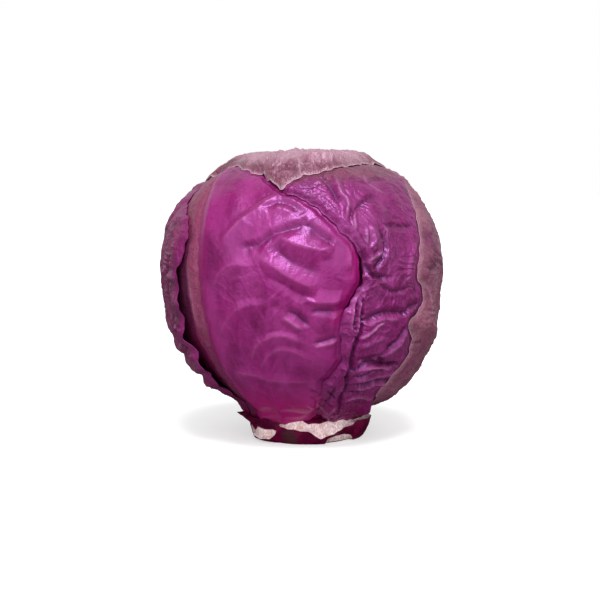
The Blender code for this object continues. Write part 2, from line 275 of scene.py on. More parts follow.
def nearest_on(places, starts, ends):
    """For each place: how far the nearest straight piece is, its number, and the share along it."""
    piece = ends - starts
    square = (piece * piece).sum(-1)
    away, number, share = np.zeros(len(places)), np.zeros(len(places), int), np.zeros(len(places))
    for first in range(0, len(places), CHUNK):
        part = slice(first, first + CHUNK)
        right = places[part, :1] - starts[:, 0]
        up = places[part, 1:] - starts[:, 1]
        along = np.clip((right * piece[:, 0] + up * piece[:, 1]) / square, 0, 1)
        square_away = (right - along * piece[:, 0]) ** 2 + (up - along * piece[:, 1]) ** 2
        nearest = square_away.argmin(axis=1)
        rows = np.arange(len(nearest))
        away[part] = np.sqrt(square_away[rows, nearest])
        number[part] = nearest
        share[part] = along[rows, nearest]
    return away, number, share


def line_distance(places, line, reach):
    """The distance to a line, and the share along it from 0 to 1, for the places within reach of it."""
    away, along = np.full(len(places), FAR), np.zeros(len(places))
    low, high = line.min(axis=0) - reach, line.max(axis=0) + reach
    near = ((places > low) & (places < high)).all(axis=1)
    if near.any():
        away[near], number, share = nearest_on(places[near], line[:-1], line[1:])
        along[near] = (number + share) / (len(line) - 1)
    return away, along


def edge_distance(places, ring):
    """The distance to a closed outline, positive inside it, and how far along the outline in points."""
    ends = np.roll(ring, -1, axis=0)
    away, number, share = nearest_on(places, ring, ends)
    turn = np.sign((ring[:, 0] * ends[:, 1] - ring[:, 1] * ends[:, 0]).sum())
    piece = (ends - ring) / np.linalg.norm(ends - ring, axis=-1, keepdims=True) * turn
    inward = np.stack((-piece[:, 1], piece[:, 0]), axis=-1)
    side = ((places - ring[number]) * inward[number]).sum(-1)
    corner = (share <= 0) | (share >= 1)
    joint = np.where(share >= 1, (number + 1) % len(ring), number)
    blended = inward[joint] + inward[joint - 1]
    side = np.where(corner, ((places - ring[joint]) * blended).sum(-1), side)
    return np.where(side >= 0, away, -away), number + share


GRADIENT_COUNT = 512
GRADIENTS = np.random.default_rng(5).normal(size=(GRADIENT_COUNT, 3))
GRADIENTS /= np.linalg.norm(GRADIENTS, axis=1, keepdims=True)
CELL_PRIMES = (73856093, 19349663, 83492791)
SEED_PRIME = 26544357
NOISE_GAIN = 1.6
RIDGE_STEEPNESS = 2.2


def noise(points, seed=0):
    """Smooth noise from about -1 to 1, with its lumps one unit across."""
    cell = np.floor(points).astype(np.int64)
    inner = points - cell
    ease = inner * inner * inner * (inner * (inner * 6 - 15) + 10)
    total = np.zeros(len(points))
    for corner in np.ndindex(2, 2, 2):
        first, second, third = ((cell + corner) * CELL_PRIMES).T
        number = first ^ second ^ third ^ (seed * SEED_PRIME)
        slope = GRADIENTS[(number ^ (number >> 9)) % GRADIENT_COUNT]
        weight = np.prod(np.where(corner, ease, 1 - ease), axis=1)
        total += weight * (slope * (inner - corner)).sum(axis=1)
    return total * NOISE_GAIN


def ridges(points, seed=0):
    """Sharp-crested ridges from 0 to 1, one unit apart, on soft ground."""
    return np.clip(1 - np.abs(noise(points, seed)) * RIDGE_STEEPNESS, 0, 1) ** 2


def heart_radius(toward):
    """The dense head under all the leaves, fuller at its upper left and its lower right."""
    place = (latitude_of(toward) + 90) / PROFILE_STEP
    left = spline(np.array(LEFT_PROFILE_MM, float), place)
    right = spline(np.array(RIGHT_PROFILE_MM, float), place)
    share = 0.5 + 0.5 * toward[:, 0]
    return (left + (right - left) * share) * MM


class Table:
    """Values at the points of an even grid, read at any place between them."""

    def __init__(self, low, high, step):
        self.low, self.step = low, step
        across, up = (int(size / step) + 2 for size in high - low)
        self.values = np.zeros((across, up))

    def places(self):
        across, up = self.values.shape
        grid = np.stack(np.meshgrid(np.arange(across), np.arange(up), indexing="ij"), axis=-1)
        return grid.reshape(-1, 2) * self.step + self.low

    def read(self, places):
        at = np.clip((places - self.low) / self.step, 0, np.array(self.values.shape) - 1.001)
        cell = at.astype(int)
        right, up = (at - cell).T
        first, second = cell.T
        lower = self.values[first, second] * (1 - right) + self.values[first + 1, second] * right
        upper = self.values[first, second + 1] * (1 - right) + self.values[first + 1, second + 1] * right
        return lower * (1 - up) + upper * up

    def fill(self, corners, heights):
        """Lays one flat triangle into the grid."""
        at = (corners - self.low) / self.step
        low = np.maximum(np.floor(at.min(axis=0)).astype(int), 0)
        high = np.minimum(np.ceil(at.max(axis=0)).astype(int) + 1, self.values.shape)
        if (high <= low).any():
            return
        (ax, ay), (bx, by), (cx, cy) = at
        area = (bx - ax) * (cy - ay) - (cx - ax) * (by - ay)
        if abs(area) < TINY:
            return
        x, y = np.meshgrid(np.arange(low[0], high[0]), np.arange(low[1], high[1]), indexing="ij")
        second = ((x - ax) * (cy - ay) - (cx - ax) * (y - ay)) / area
        third = ((bx - ax) * (y - ay) - (x - ax) * (by - ay)) / area
        inside = (second >= -SLACK) & (third >= -SLACK) & (second + third <= 1 + SLACK)
        height = heights[0] + second * (heights[1] - heights[0]) + third * (heights[2] - heights[0])
        part = self.values[low[0] : high[0], low[1] : high[1]]
        part[inside] = height[inside]

    def soften(self, distance):
        """Blurs the values over this distance, so that edges between facets are rounded."""
        reach = max(1, int(3 * distance / self.step))
        weights = np.exp(-((np.arange(-reach, reach + 1) * self.step / distance) ** 2) / 2)
        weights /= weights.sum()
        for axis in (0, 1):
            room = [(reach, reach) if axis == way else (0, 0) for way in (0, 1)]
            padded = np.pad(self.values, room, mode="edge")
            length = self.values.shape[axis]
            moved = [np.take(padded, range(first, first + length), axis) for first in range(2 * reach + 1)]
            self.values = sum(weight * values for weight, values in zip(weights, moved))


class Leaf:
    """One leaf: its outline on the head, from the base round, and every shape raised on it.

    Lengths are given in millimetres and places in degrees. Pucker and crumple are a rise and two sizes, veins
    are a count, an angle and a reach, and facets are a size, a rise and how softly they meet.
    """

    def __init__(self, name, centre, outline, rib, swell, ragged, lattice, seed, facets, raised=0.0, folds=(),
                 lifts=(), creases=(), pucker=(0.3, 16, 10), crumple=(0, 20, 9), veins=(9, 55, 62),
                 rib_rise=1.6, vein_rise=0.45, folded=1.0, narrow=1.0, calm=None, pressed=12, edge=0.3,
                 frill=0.3, wrinkles=1.0):
        self.name = name
        self.seed = seed
        self.centre = direction(*centre)
        self.east = direction(centre[0] + 90, 0)
        self.north = np.cross(self.east, -self.centre)
        self.swell = swell * MM
        self.raised = raised * MM
        self.ragged = ragged
        self.lattice = lattice * MM * 1
        self.random = random.Random(seed)
        self.waves = [self.swell_wave() for _ in range(SWELL_WAVES)]
        self.notches = [self.random.uniform(0, 2 * math.pi) for _ in WAVE_STRETCHES]
        self.outline = self.margin(outline, self.lattice, NICKED)
        self.coarse = self.margin(outline, COARSE_STEP, 0.0)
        self.table = self.distance_table()
        self.rib = self.route(rib)
        self.folds = [(self.route(points), width * MM, rise * MM) for points, width, rise in folds]
        self.folded = folded
        self.calm = calm
        self.pressed = pressed * MM
        self.edge_blade = edge * MM
        self.creases = [
            (self.route(points), left * narrow * MM, right * narrow * MM, rise * MM, tone)
            for points, left, right, rise, tone in creases
        ]
        self.facets = self.facet_table(*facets)
        self.lifts = lifts
        self.pucker = pucker
        self.crumple = crumple
        self.rib_rise = rib_rise * MM
        self.vein_rise = vein_rise * MM
        self.frill = frill * MM
        self.wrinkles = wrinkles
        self.veins = self.side_veins(*veins)

    def swell_wave(self):
        """One broad wave over the leaf: which way it runs, how tight it is and where it starts."""
        heading = Vector([self.random.gauss(0, 1) for _ in range(3)]).normalized()
        return np.array(heading) * self.random.uniform(*SWELL_TIGHTNESS), self.random.uniform(0, 2 * math.pi)

    def to_map(self, toward):
        """Directions to places in the leaf's flat map, which keeps distances from its centre."""
        along = np.clip(toward @ self.centre, -1, 1)
        across = np.stack((toward @ self.east, toward @ self.north), axis=-1)
        length = np.maximum(np.linalg.norm(across, axis=-1, keepdims=True), TINY)
        return across / length * (np.arccos(along) * MAP_RADIUS)[:, None]

    def from_map(self, places):
        """Places in the flat map back to directions."""
        angle = np.linalg.norm(places, axis=-1) / MAP_RADIUS
        scale = np.sin(angle) / np.maximum(angle * MAP_RADIUS, TINY)
        across = places * scale[:, None]
        return across[:, :1] * self.east + across[:, 1:] * self.north + np.cos(angle)[:, None] * self.centre

    def drawn(self, points):
        """Longitudes and latitudes as places in the map, with the leaf's base moved down its stalk."""
        longitude, latitude = np.array(points, float).T
        return self.to_map(direction(longitude, np.where(latitude < BASE_FROM, BASE_LATITUDE, latitude)))

    def route(self, points):
        """A line drawn on the head, as map points close together."""
        corners = self.drawn(points)
        curve = spline(corners, np.linspace(0, len(corners) - 1, ROUTE_POINTS))
        return even_steps(curve, ROUTE_STEP)

    def margin(self, points, step, nicked):
        """The outline as a closed curve in the map, with its ragged waves and small nicks."""
        corners = self.drawn(points)
        ring = np.concatenate((corners[-2:], corners, corners[:3]))
        curve = spline(ring, np.linspace(2, len(corners) + 2, MARGIN_POINTS * len(corners)))
        curve = even_steps(curve, step)[:-1]
        ahead = np.roll(curve, -1, axis=0) - np.roll(curve, 1, axis=0)
        outward = np.stack((ahead[:, 1], -ahead[:, 0]), axis=-1)
        outward /= np.linalg.norm(outward, axis=-1, keepdims=True)
        along = np.arange(len(curve)) * step
        size, length = self.ragged
        wave = sum(
            np.sin(2 * math.pi * along / (length * MM * stretch) + start)
            for stretch, start in zip(WAVE_STRETCHES, self.notches)
        )
        around = np.column_stack((curve / NICK_SIZE, np.full(len(curve), self.seed)))
        nicks = nicked * noise(around, self.seed) * min(size, DEEPEST_NICK)
        return curve + outward * ((wave * size / len(WAVE_STRETCHES) + nicks) * MM)[:, None]

    def distance_table(self):
        """Distances to the outline on an even grid of the map."""
        room = NEAR_EDGE + 2 * TABLE_STEP
        table = Table(self.coarse.min(axis=0) - room, self.coarse.max(axis=0) + room, TABLE_STEP)
        inside, _ = edge_distance(table.places(), self.coarse)
        table.values = inside.reshape(table.values.shape)
        return table

    def about_inside(self, places):
        """The distance to the outline, read from the table: positive inside."""
        return self.table.read(places)

    def facet_table(self, size, rise, soft):
        """Flat facets: heights along each crease and beside it, and at loose points in between."""
        corners, heights, edges = [], [], []
        every = np.concatenate([line for line, *_ in self.creases])

        def add(points, levels, room):
            kept = np.linalg.norm(points[:, None] - every, axis=2).min(axis=1) > room
            corners.extend(points[kept])
            heights.extend(np.broadcast_to(levels, len(points))[kept])

        for line, left, right, height, _ in self.creases:
            line = even_steps(line, CREASE_STEP)
            share = np.linspace(0, 1, len(line))
            ends = smooth((share + CREASE_OVERRUN) / CREASE_FADE)
            ends = ends * smooth((1 + CREASE_OVERRUN - share) / CREASE_FADE)
            edges += [(len(corners) + i, len(corners) + i + 1) for i in range(len(line) - 1)]
            add(line, height * self.folded * ends, -1)
            ahead = np.gradient(line, axis=0)
            across = np.stack((-ahead[:, 1], ahead[:, 0]), axis=-1)
            across = across / np.linalg.norm(ahead, axis=1, keepdims=True)
            add(line + across * left, 0.0, BESIDE_CREASE * left)
            add(line - across * right, 0.0, BESIDE_CREASE * right)
        low, high = self.coarse.min(axis=0) - TABLE_ROOM, self.coarse.max(axis=0) + TABLE_ROOM
        step = size * MM
        drawn = np.array(corners)
        for across in np.arange(low[0], high[0] + step, step):
            for up in np.arange(low[1], high[1] + step, step):
                moved = [self.random.uniform(-FACET_SCATTER, FACET_SCATTER) * step for _ in range(2)]
                place = np.array((across, up)) + moved
                height = self.random.uniform(-rise, rise) * MM
                if np.linalg.norm(drawn - place, axis=1).min() > FACET_ROOM * step:
                    corners.append(place)
                    heights.append(height)
        flat = delaunay_2d_cdt([Vector(corner) for corner in corners], edges, [], 0, MERGED)
        at = np.array([tuple(corner) for corner in flat[0]])
        given = np.array(corners)
        level = []
        for corner, sources in zip(at, flat[3]):
            nearest = sources if sources else np.argsort(np.linalg.norm(given - corner, axis=1))[:2]
            level.append(np.mean([heights[source] for source in nearest]))
        level = np.array(level)
        table = Table(low, high, FACET_STEP)
        for triangle in flat[2]:
            table.fill(at[triangle], level[triangle])
        table.soften(soft * MM)
        return table

    def edge(self, places, ring, step):
        """The distance to the outline and the way along it, worked out in full only near it."""
        inside = self.about_inside(places)
        along = np.zeros(len(places))
        near = np.abs(inside) < NEAR_EDGE
        if near.any():
            inside[near], position = edge_distance(places[near], ring)
            along[near] = position * step
        return inside, along

    def side_veins(self, count, angle, reach):
        """Veins that leave the midrib in turn to the left and right, curve towards the tip and fork."""
        made = []
        for number in range(count * 2):
            share = VEINS_FROM + VEINS_SPAN * (number // 2 + self.random.uniform(0, VEIN_OUT_OF_STEP)) / count
            at = min(int(share * (len(self.rib) - 1)), len(self.rib) - 2)
            tangent = self.rib[at + 1] - self.rib[at]
            heading = math.atan2(tangent[1], tangent[0])
            side = 1 if number % 2 else -1
            turn = angle - VEIN_CLOSING * share + self.random.uniform(-VEIN_SCATTER, VEIN_SCATTER)
            turn = math.radians(turn) * side
            length = reach * MM * (1 - VEIN_SHORTER * share)
            main = self.vein(self.rib[at], heading + turn, -turn * VEIN_BEND, length)
            made.append((main, 1.0))
            for where, swing in FORKS:
                start = max(1, int(where * (len(main) - 1)))
                step = main[min(start + 1, len(main) - 1)] - main[start - 1]
                away = math.atan2(step[1], step[0]) + swing * side
                fork = self.vein(main[start], away, -swing * side * FORK_BEND, length * FORK_LENGTH)
                made.append((fork, FORK_STRENGTH))
        return [(line, strength) for line, strength in made if len(line) > SHORTEST]

    def vein(self, start, heading, bend, length):
        """One vein: a line that bends steadily and wavers a little."""
        count = max(2, int(length / VEIN_STEP))
        points = [start]
        for _ in range(count):
            heading += bend / count + self.random.uniform(-VEIN_WAVER, VEIN_WAVER)
            points.append(points[-1] + VEIN_STEP * np.array((math.cos(heading), math.sin(heading))))
        return np.array(points)

    def cover(self, toward, reach):
        """1 over the leaf and its lip, falling to 0 at this distance outside it."""
        return smooth((self.about_inside(self.to_map(toward)) + reach) / (reach - COVER_LIP))

    def broad_relief(self, toward, places, inside, along):
        """The swellings and folds, and the lift of the margins, which the leaves above follow too."""
        swelling = sum(np.sin(toward @ way + start) for way, start in self.waves) / SWELL_WAVES
        height = self.raised + self.swell * (0.5 + 0.5 * swelling)
        for line, width, rise in self.folds:
            away, share = line_distance(places, line, 3 * width)
            height = height + rise * bell(away / width) * smooth((1 - share) / FOLD_FADE)
        lift = np.zeros(len(places))
        for where, spread, rise, reach, ripple in self.lifts:
            near = bell(degrees_from(toward, where) / spread) * (1 - smooth(inside / (reach * MM)))
            lift += rise * MM * near * (1 + ripple * np.sin(2 * math.pi * along / RIPPLE))
        return height, lift

    def wrinkled(self, places):
        """Puckers and crumples: soft lumps and sharp ridges, on a map that is warped a little."""
        flat = np.column_stack((places / MM, np.zeros(len(places))))
        warp = np.column_stack([noise(flat / WARP_SIZE, self.seed + 7 + axis) for axis in range(3)]) * WARP
        warp[:, 2] *= self.wrinkles
        flat = flat + warp
        rise, across, up = self.pucker
        finer = (across * FINER_PUCKER, up * FINER_PUCKER, 1)
        height = rise * MM * noise(flat / (across, up, 1), self.seed)
        height += FINER_PUCKER_RISE * rise * MM * noise(flat / finer, self.seed + 1)
        rise, across, up = self.crumple
        if rise:
            finer = (across * FINER_CRUMPLE[0], up * FINER_CRUMPLE[1], 1)
            sharp = ridges(flat / (across, up, 1), self.seed + 2)
            small = ridges(flat / finer, self.seed + 3)
            height += rise * MM * (sharp + FINER_CRUMPLE_RISE * small - FINER_CRUMPLE_RISE)
        return height

    def vein_share(self, places):
        """How much vein there is at each place: 1 on the midrib, less on the side veins and their forks."""
        width, lost, reach = RIB_LINE
        away, share = line_distance(places, self.rib, reach)
        vein = bell(away / (width - lost * share)) * smooth((1 - share) / RIB_FADE)
        width, lost, reach = VEIN_LINE
        for line, strength in self.veins:
            away, share = line_distance(places, line, reach)
            wide = (width - lost * share) * (THINNEST + (1 - THINNEST) * strength)
            vein = np.maximum(vein, strength * (1 - FADE_TO_TIP * share) * bell(away / wide))
        return vein

    def fine_relief(self, toward, places, inside):
        """Facets, wrinkles, veins and the frill: their height, how much vein, and the drawn lines of painted
        crease shade, pale ribs and painted ridge highlight.
        """
        drawn = np.zeros(len(places))
        # The drawn lines: painted shade along the creases, and pale lines that are part pale rib and part
        # painted highlight
        for line, _, _, _, tone in self.creases:
            away, share = line_distance(places, line, 3 * LINE_WIDTH)
            ends = smooth(share / LINE_FADE) * smooth((1 - share) / LINE_FADE)
            drawn += tone * ends * bell(away / LINE_WIDTH)
        height = self.facets.read(places) + self.wrinkled(places)
        if self.calm:
            where, spread = self.calm
            height *= 1 - CALMED * bell(degrees_from(toward, where) / spread)
        vein = self.vein_share(places)
        height += self.vein_rise * vein
        flat = np.column_stack((places / FRILL_SIZE, np.zeros(len(places))))
        height += self.frill * bell(inside / FRILL_REACH) * noise(flat, self.seed + 5)
        return height, vein, drawn

    def rib_height(self, places):
        """How far the midrib stands out of the outer face, less and less towards the tip."""
        away, _ = line_distance(places, self.rib, RIB_REACH)
        length = np.linalg.norm(self.rib[-1] - self.rib[0])
        share = np.clip(np.linalg.norm(places - self.rib[0], axis=-1) / length, 0, 1)
        across = bell(away / (RIB_WIDTH * (1 - THINNED * share)))
        return self.rib_rise * (1 - FADE_TO_TIP * smooth(share)) * across


def leaves():
    """The six leaves, from the innermost out.

    Each crease is a line on the head, its width to the left and right of the way it is drawn, its rise, below
    zero for a valley, and its tone, from -1 for a dark line of painted shade to 1 for a pale line, part pale
    rib and part painted highlight. A fold is a line, its width and its rise. A lift is a place, its spread in
    degrees, its rise, its reach and its ripple.
    """
    left = Leaf(
        "left_leaf",
        centre=(-75, 0),
        outline=((-50, -65), (-36, -50), (-30, -20), (-30, 10), (-38, 38), (-60, 60), (-100, 66), (-122, 45),
                 (-128, 10), (-122, -25), (-108, -52), (-85, -65)),
        rib=((-68, -66), (-74, -30), (-78, 10), (-80, 40)),
        swell=1.4,
        ragged=(1.2, 26),
        lattice=0.9,
        facets=(13, 0.5, 1.4),
        creases=(
            (((-58, 36), (-55, 20), (-53, 0), (-50, -20)), 3, 4, 0.9, 0.3),
            (((-61, 30), (-59, 12), (-58, -4), (-54, -22)), 3, 3, -0.9, -0.6),
        ),
        seed=11,
    )
    front = Leaf(
        "front_leaf",
        centre=(-10, 0),
        outline=((-50, -65), (-45, -56), (-45, -45), (-44, -28), (-45, -13), (-46, -2), (-47, 12), (-49, 23),
                 (-52, 31), (-56, 38), (-66, 47), (-80, 58), (-60, 72), (-10, 74), (22, 62), (31, 45),
                 (30, 30), (25, 19), (24.5, 14), (24.5, 8), (23, 3), (20, -2), (18, -7), (24, -14),
                 (28, -28), (27, -45), (20, -62), (2, -66), (-28, -66)),
        rib=((-20, -65), (-16, -30), (-12, 10), (-12, 45)),
        swell=1.4,
        ragged=(0.5, 22),
        lattice=0.63,
        raised=0.9,
        lifts=(((23, 5), 11, 1.0, 7, 0.0),),
        creases=(
            (((-27, 20), (-18, 21), (-13, 24.5), (-4.5, 27.5), (3, 29.5), (6, 29)), 4, 8, -1.5, -0.45),
            (((3, 30), (6.5, 26), (10, 23.5), (14, 20.5)), 4, 5, -1.3, -0.3),
            (((-9, 24.5), (-3.5, 21.5), (4.5, 19.5), (9, 19), (13.5, 21)), 6, 6, 1.7, 0.1),
            (((-14, 21.5), (-9, 18.5), (-4.5, 15), (1, 12.5), (8, 10)), 6, 5, -1.3, -0.2),
            (((-19, 17), (-12, 13.5), (-6, 9.5), (0, 6.5), (7, 4)), 5, 5, 1.2, 0.1),
            (((-14, 9), (-7, 6), (-1, 2.5), (5, 0)), 4, 5, -0.8, -0.15),
            (((-17, 36.5), (-11.5, 38.5), (-6.5, 38), (-3, 36.5), (2, 33.5)), 3, 4, -0.8, -0.3),
            (((-13, 35.5), (-9, 36), (-4, 33.5)), 2.5, 4, 0.7, 0.1),
            (((-15, 43), (-6, 42), (3, 37.5)), 3, 5, 0.8, 0.1),
            (((20.5, 25), (21.5, 21), (20.5, 16.5), (20, 11)), 1.6, 3, 1.1, 0.25),
            (((-5.5, -4.5), (-1.5, -7), (0.5, -9), (3.5, -11)), 4, 2, -1.6, -0.8),
            (((-7, -7), (-3, -10), (1, -12.5)), 1.8, 4, 1.2, 0.3),
            (((2, 0.5), (8, -1.5), (17, -1.5)), 7, 3, 1.5, 0.05),
            (((4, -4.5), (10.5, -5), (15, -5)), 2.5, 3, -1.3, -0.3),
            (((13, -8.5), (15.5, -6.5), (17.8, -4.5)), 1.2, 1.5, 0.9, 0.4),
            (((5, -18.5), (11.5, -17), (16, -15.5)), 3, 1.2, -0.9, -0.9),
            (((5, -19.6), (11.5, -18.4), (16, -16.8)), 1.1, 3, 0.5, 0.35),
            (((-23.5, -28), (-19, -19.5), (-13.5, -16), (-6.5, -15), (2, -18.5)), 2.5, 6, 0.9, 0.1),
            (((-20, -32), (-15, -24.5), (-9, -21), (-2, -22), (5, -26)), 2.5, 5, 0.6, 0.1),
            (((-35, -32), (-25, -33), (-12.5, -36), (6, -36)), 5, 5, 0.8, 0.1),
            (((-34.5, 20), (-27.5, 29.5), (-19, 37), (-11, 43.5)), 3.5, 7, 1.0, 0.1),
            (((-38, 2), (-33, 10), (-27, 13), (-20, 12)), 4, 6, 0.8, 0.05),
            (((-36, -16), (-30, -8), (-22, -3), (-14, -3)), 4, 6, 0.7, 0.05),
            (((4, -42), (9, -44), (14, -49)), 2, 2, -1.0, -0.8),
            (((5, -46), (9, -49), (13, -54)), 1.5, 2, -1.0, -0.8),
            (((3, -50), (7, -53), (11, -57)), 1.5, 2, 0.9, -0.4),
        ),
        pucker=(0.3, 30, 16),
        crumple=(0.2, 38, 18),
        veins=(7, 52, 60),
        rib_rise=0.9,
        vein_rise=0.22,
        folded=1.3,
        facets=(11, 0.55, 0.45),
        wrinkles=0.1,
        pressed=8,
        frill=0.15,
        seed=4,
    )
    right = Leaf(
        "right_leaf",
        centre=(60, 0),
        outline=((30, -65), (14, -60), (12, -46), (11, -38), (14, -33), (18, -27), (17, -21), (16, -13),
                 (17, -7), (19.5, -2), (22.5, 3), (25, 7), (25.5, 12), (24.5, 16), (22, 21), (17, 27),
                 (9, 35), (0, 41), (-14, 47), (-30, 60), (0, 76), (80, 72), (112, 50), (120, 25), (122, 0),
                 (114, -28), (96, -48), (76, -60), (52, -65)),
        rib=((46, -66), (58, -30), (66, 5), (68, 45)),
        swell=1.4,
        ragged=(1.0, 13),
        lattice=0.6,
        raised=1.2,
        folds=(
            (((60, -57), (72, -58)), 9, 2.6),
            (((26, 9), (33, 3), (42, 5), (46, 14)), 5, 1.0),
            (((48, -10), (47, -20), (38, -28)), 6, 1.2),
        ),
        lifts=(((22, -2), 34, 0.9, 5, 0.5),),
        calm=((48, 58), 26),
        creases=(
            (((8, 58), (10.5, 53.5), (14, 48), (16.5, 44), (17.5, 40), (19, 37)), 3, 4, -2.3, -0.8),
            (((20, 53), (19.5, 42), (22, 38), (20.5, 32.5), (20, 29)), 5, 3, 2.6, 0.3),
            (((25.5, 35.5), (23.5, 31), (23.5, 25.5)), 2.5, 2, 1.5, 0.35),
            (((21, 30), (23.5, 33), (27, 35.5), (34.5, 39), (42, 40.5)), 3, 5, -1.9, -0.5),
            (((35, 27), (37, 23), (37.5, 20.5), (36.5, 17.5), (34, 14.5), (29, 10)), 3, 2.5, -2.2, -0.8),
            (((31, 28), (31.5, 22), (30, 17)), 5, 4, 1.7, 0.1),
            (((22.5, 21), (23.5, 18), (25, 15), (28, 10), (31, 8), (38, 7.5)), 3, 4, -2.3, -0.9),
            (((27, 13.5), (31, 15.5), (35.5, 17.5)), 2.5, 1.2, 1.6, 0.4),
            (((28.5, 27), (28, 23.5), (27.5, 20.5)), 1.6, 1.6, 1.0, 0.3),
            (((38.5, 28.5), (39.5, 24)), 2.5, 2.5, 1.3, 0.35),
            (((37, 28), (47, 27), (58, 26)), 3, 5, -1.2, -0.5),
            (((46, 61), (45, 53.5), (39, 48), (42, 44), (49, 40)), 1.2, 1.6, 0.7, 0.35),
            (((30, 48), (38, 46), (46, 48), (56, 47)), 3, 3, -0.9, -0.6),
            (((31, 7), (36.5, 2.5), (41, 1.5), (50, 2.5)), 3, 3, -1.3, -0.4),
            (((24.5, 2.5), (21.5, -1.5), (20.5, -6.5), (20, -11), (22, -15)), 1.3, 1.6, 2.0, 0.2),
            (((26, 2), (23.6, -4), (23.2, -9.5), (22.4, -14.5)), 1.4, 1.2, 1.8, 0.2),
            (((25, 3), (24.6, -3.5), (24.8, -9.5), (24, -14), (22.5, -19.5), (22, -24.5), (22.5, -29.5),
              (21, -32.5), (23, -37.5), (22, -44), (25, -51.5), (30, -60)), 2.4, 2.2, -2.8, -1.0),
            (((23, -7.5), (27.5, -9), (31.5, -7.5), (35.5, -7), (41, -7), (47, -8), (50, -6), (58, -5)),
             5, 2.2, -1.8, -1.0),
            (((23.8, 1), (22.2, -4), (21.6, -9), (21.4, -14)), 1.1, 1.1, -1.2, -1.0),
            (((26, -11), (31.5, -10), (37, -9.3), (44, -10.3)), 1.6, 5, 1.2, 0.2),
            (((24, -16), (29, -14), (33, -11.5), (37, -10.5)), 1.3, 3, 1.3, 0.35),
            (((48, -12), (46, -17), (43.5, -19.5), (38.5, -22.5)), 2.5, 4, -1.4, -0.9),
            (((49.5, -13), (47, -18.5), (43.5, -22), (37.5, -25), (33, -25.5)), 4, 1.6, 0.7, 0.2),
            (((24, -25.5), (30, -24.5), (33.5, -24.5), (40, -27.5)), 3, 3, -1.5, -0.7),
            (((25, -20), (31, -18), (37, -17.5)), 3, 4, 1.0, 0.1),
            (((22.5, -32), (27, -28), (31.5, -27), (37, -28.5), (44, -29.5), (52, -30)), 3.5, 2, -2.4, -1.0),
            (((26, -30.2), (31.5, -28.9), (38, -30.3), (46, -31.5)), 1.4, 4, 1.3, 0.25),
            (((22.5, -33), (29.5, -33), (35, -30.8), (42, -32)), 2, 2, -1.6, -0.8),
            (((25, -35), (33, -34.6), (42, -34.4), (52, -34)), 2.5, 2.5, 1.0, 0.15),
            (((23, -37), (33.5, -38), (40, -37.5), (48, -38), (59, -39)), 3.5, 2, -2.0, -0.9),
            (((27, -39), (34, -39.8), (41, -39.2), (50, -39.6)), 1.4, 3, 1.1, 0.25),
            (((22.5, -41), (29.5, -41.7), (35.5, -41.2), (39.5, -40), (44, -41)), 2, 2, -1.4, -0.7),
            (((24, -48), (28, -44.5), (34.5, -45), (43, -48), (50, -47)), 2, 2.5, 1.3, 0.3),
            (((25, -51), (33, -49), (42, -52), (52, -51)), 2, 2, -1.5, -0.7),
            (((22, -50.5), (19, -56), (17.5, -62)), 1.3, 1.3, 1.5, 0.9),
            (((13, -40), (16, -43), (20, -46)), 1.6, 1.6, -1.4, -0.9),
            (((12, -47), (16, -49), (20, -52)), 1.6, 1.6, -1.4, -0.9),
            (((17, -37), (16.5, -42), (15, -50), (15, -58)), 1.6, 1.6, -1.4, -0.9),
            (((13, -54), (17, -54), (21, -57)), 1.6, 1.6, 1.4, 0.1),
            (((56, 20), (50, 12), (48, 4)), 3, 3, 1.0, 0.1),
            (((58, -14), (54, -22), (54, -30)), 3, 3, -1.2, -0.4),
            (((12, 48), (5, 45), (-4, 45)), 2, 2, -0.8, -0.5),
            (((14, 42), (7, 40.5), (1, 42)), 1.6, 2, 0.8, 0.2),
            (((60, 40), (66, 20), (66, 0), (62, -20), (58, -40)), 6, 6, 1.2, 0.0),
        ),
        pucker=(0.3, 13, 9),
        crumple=(0.5, 15, 6.5),
        veins=(9, 50, 62),
        rib_rise=1.0,
        vein_rise=0.25,
        folded=1.2,
        narrow=0.75,
        facets=(7.5, 0.9, 0.35),
        pressed=4.5,
        frill=0.45,
        seed=7,
    )
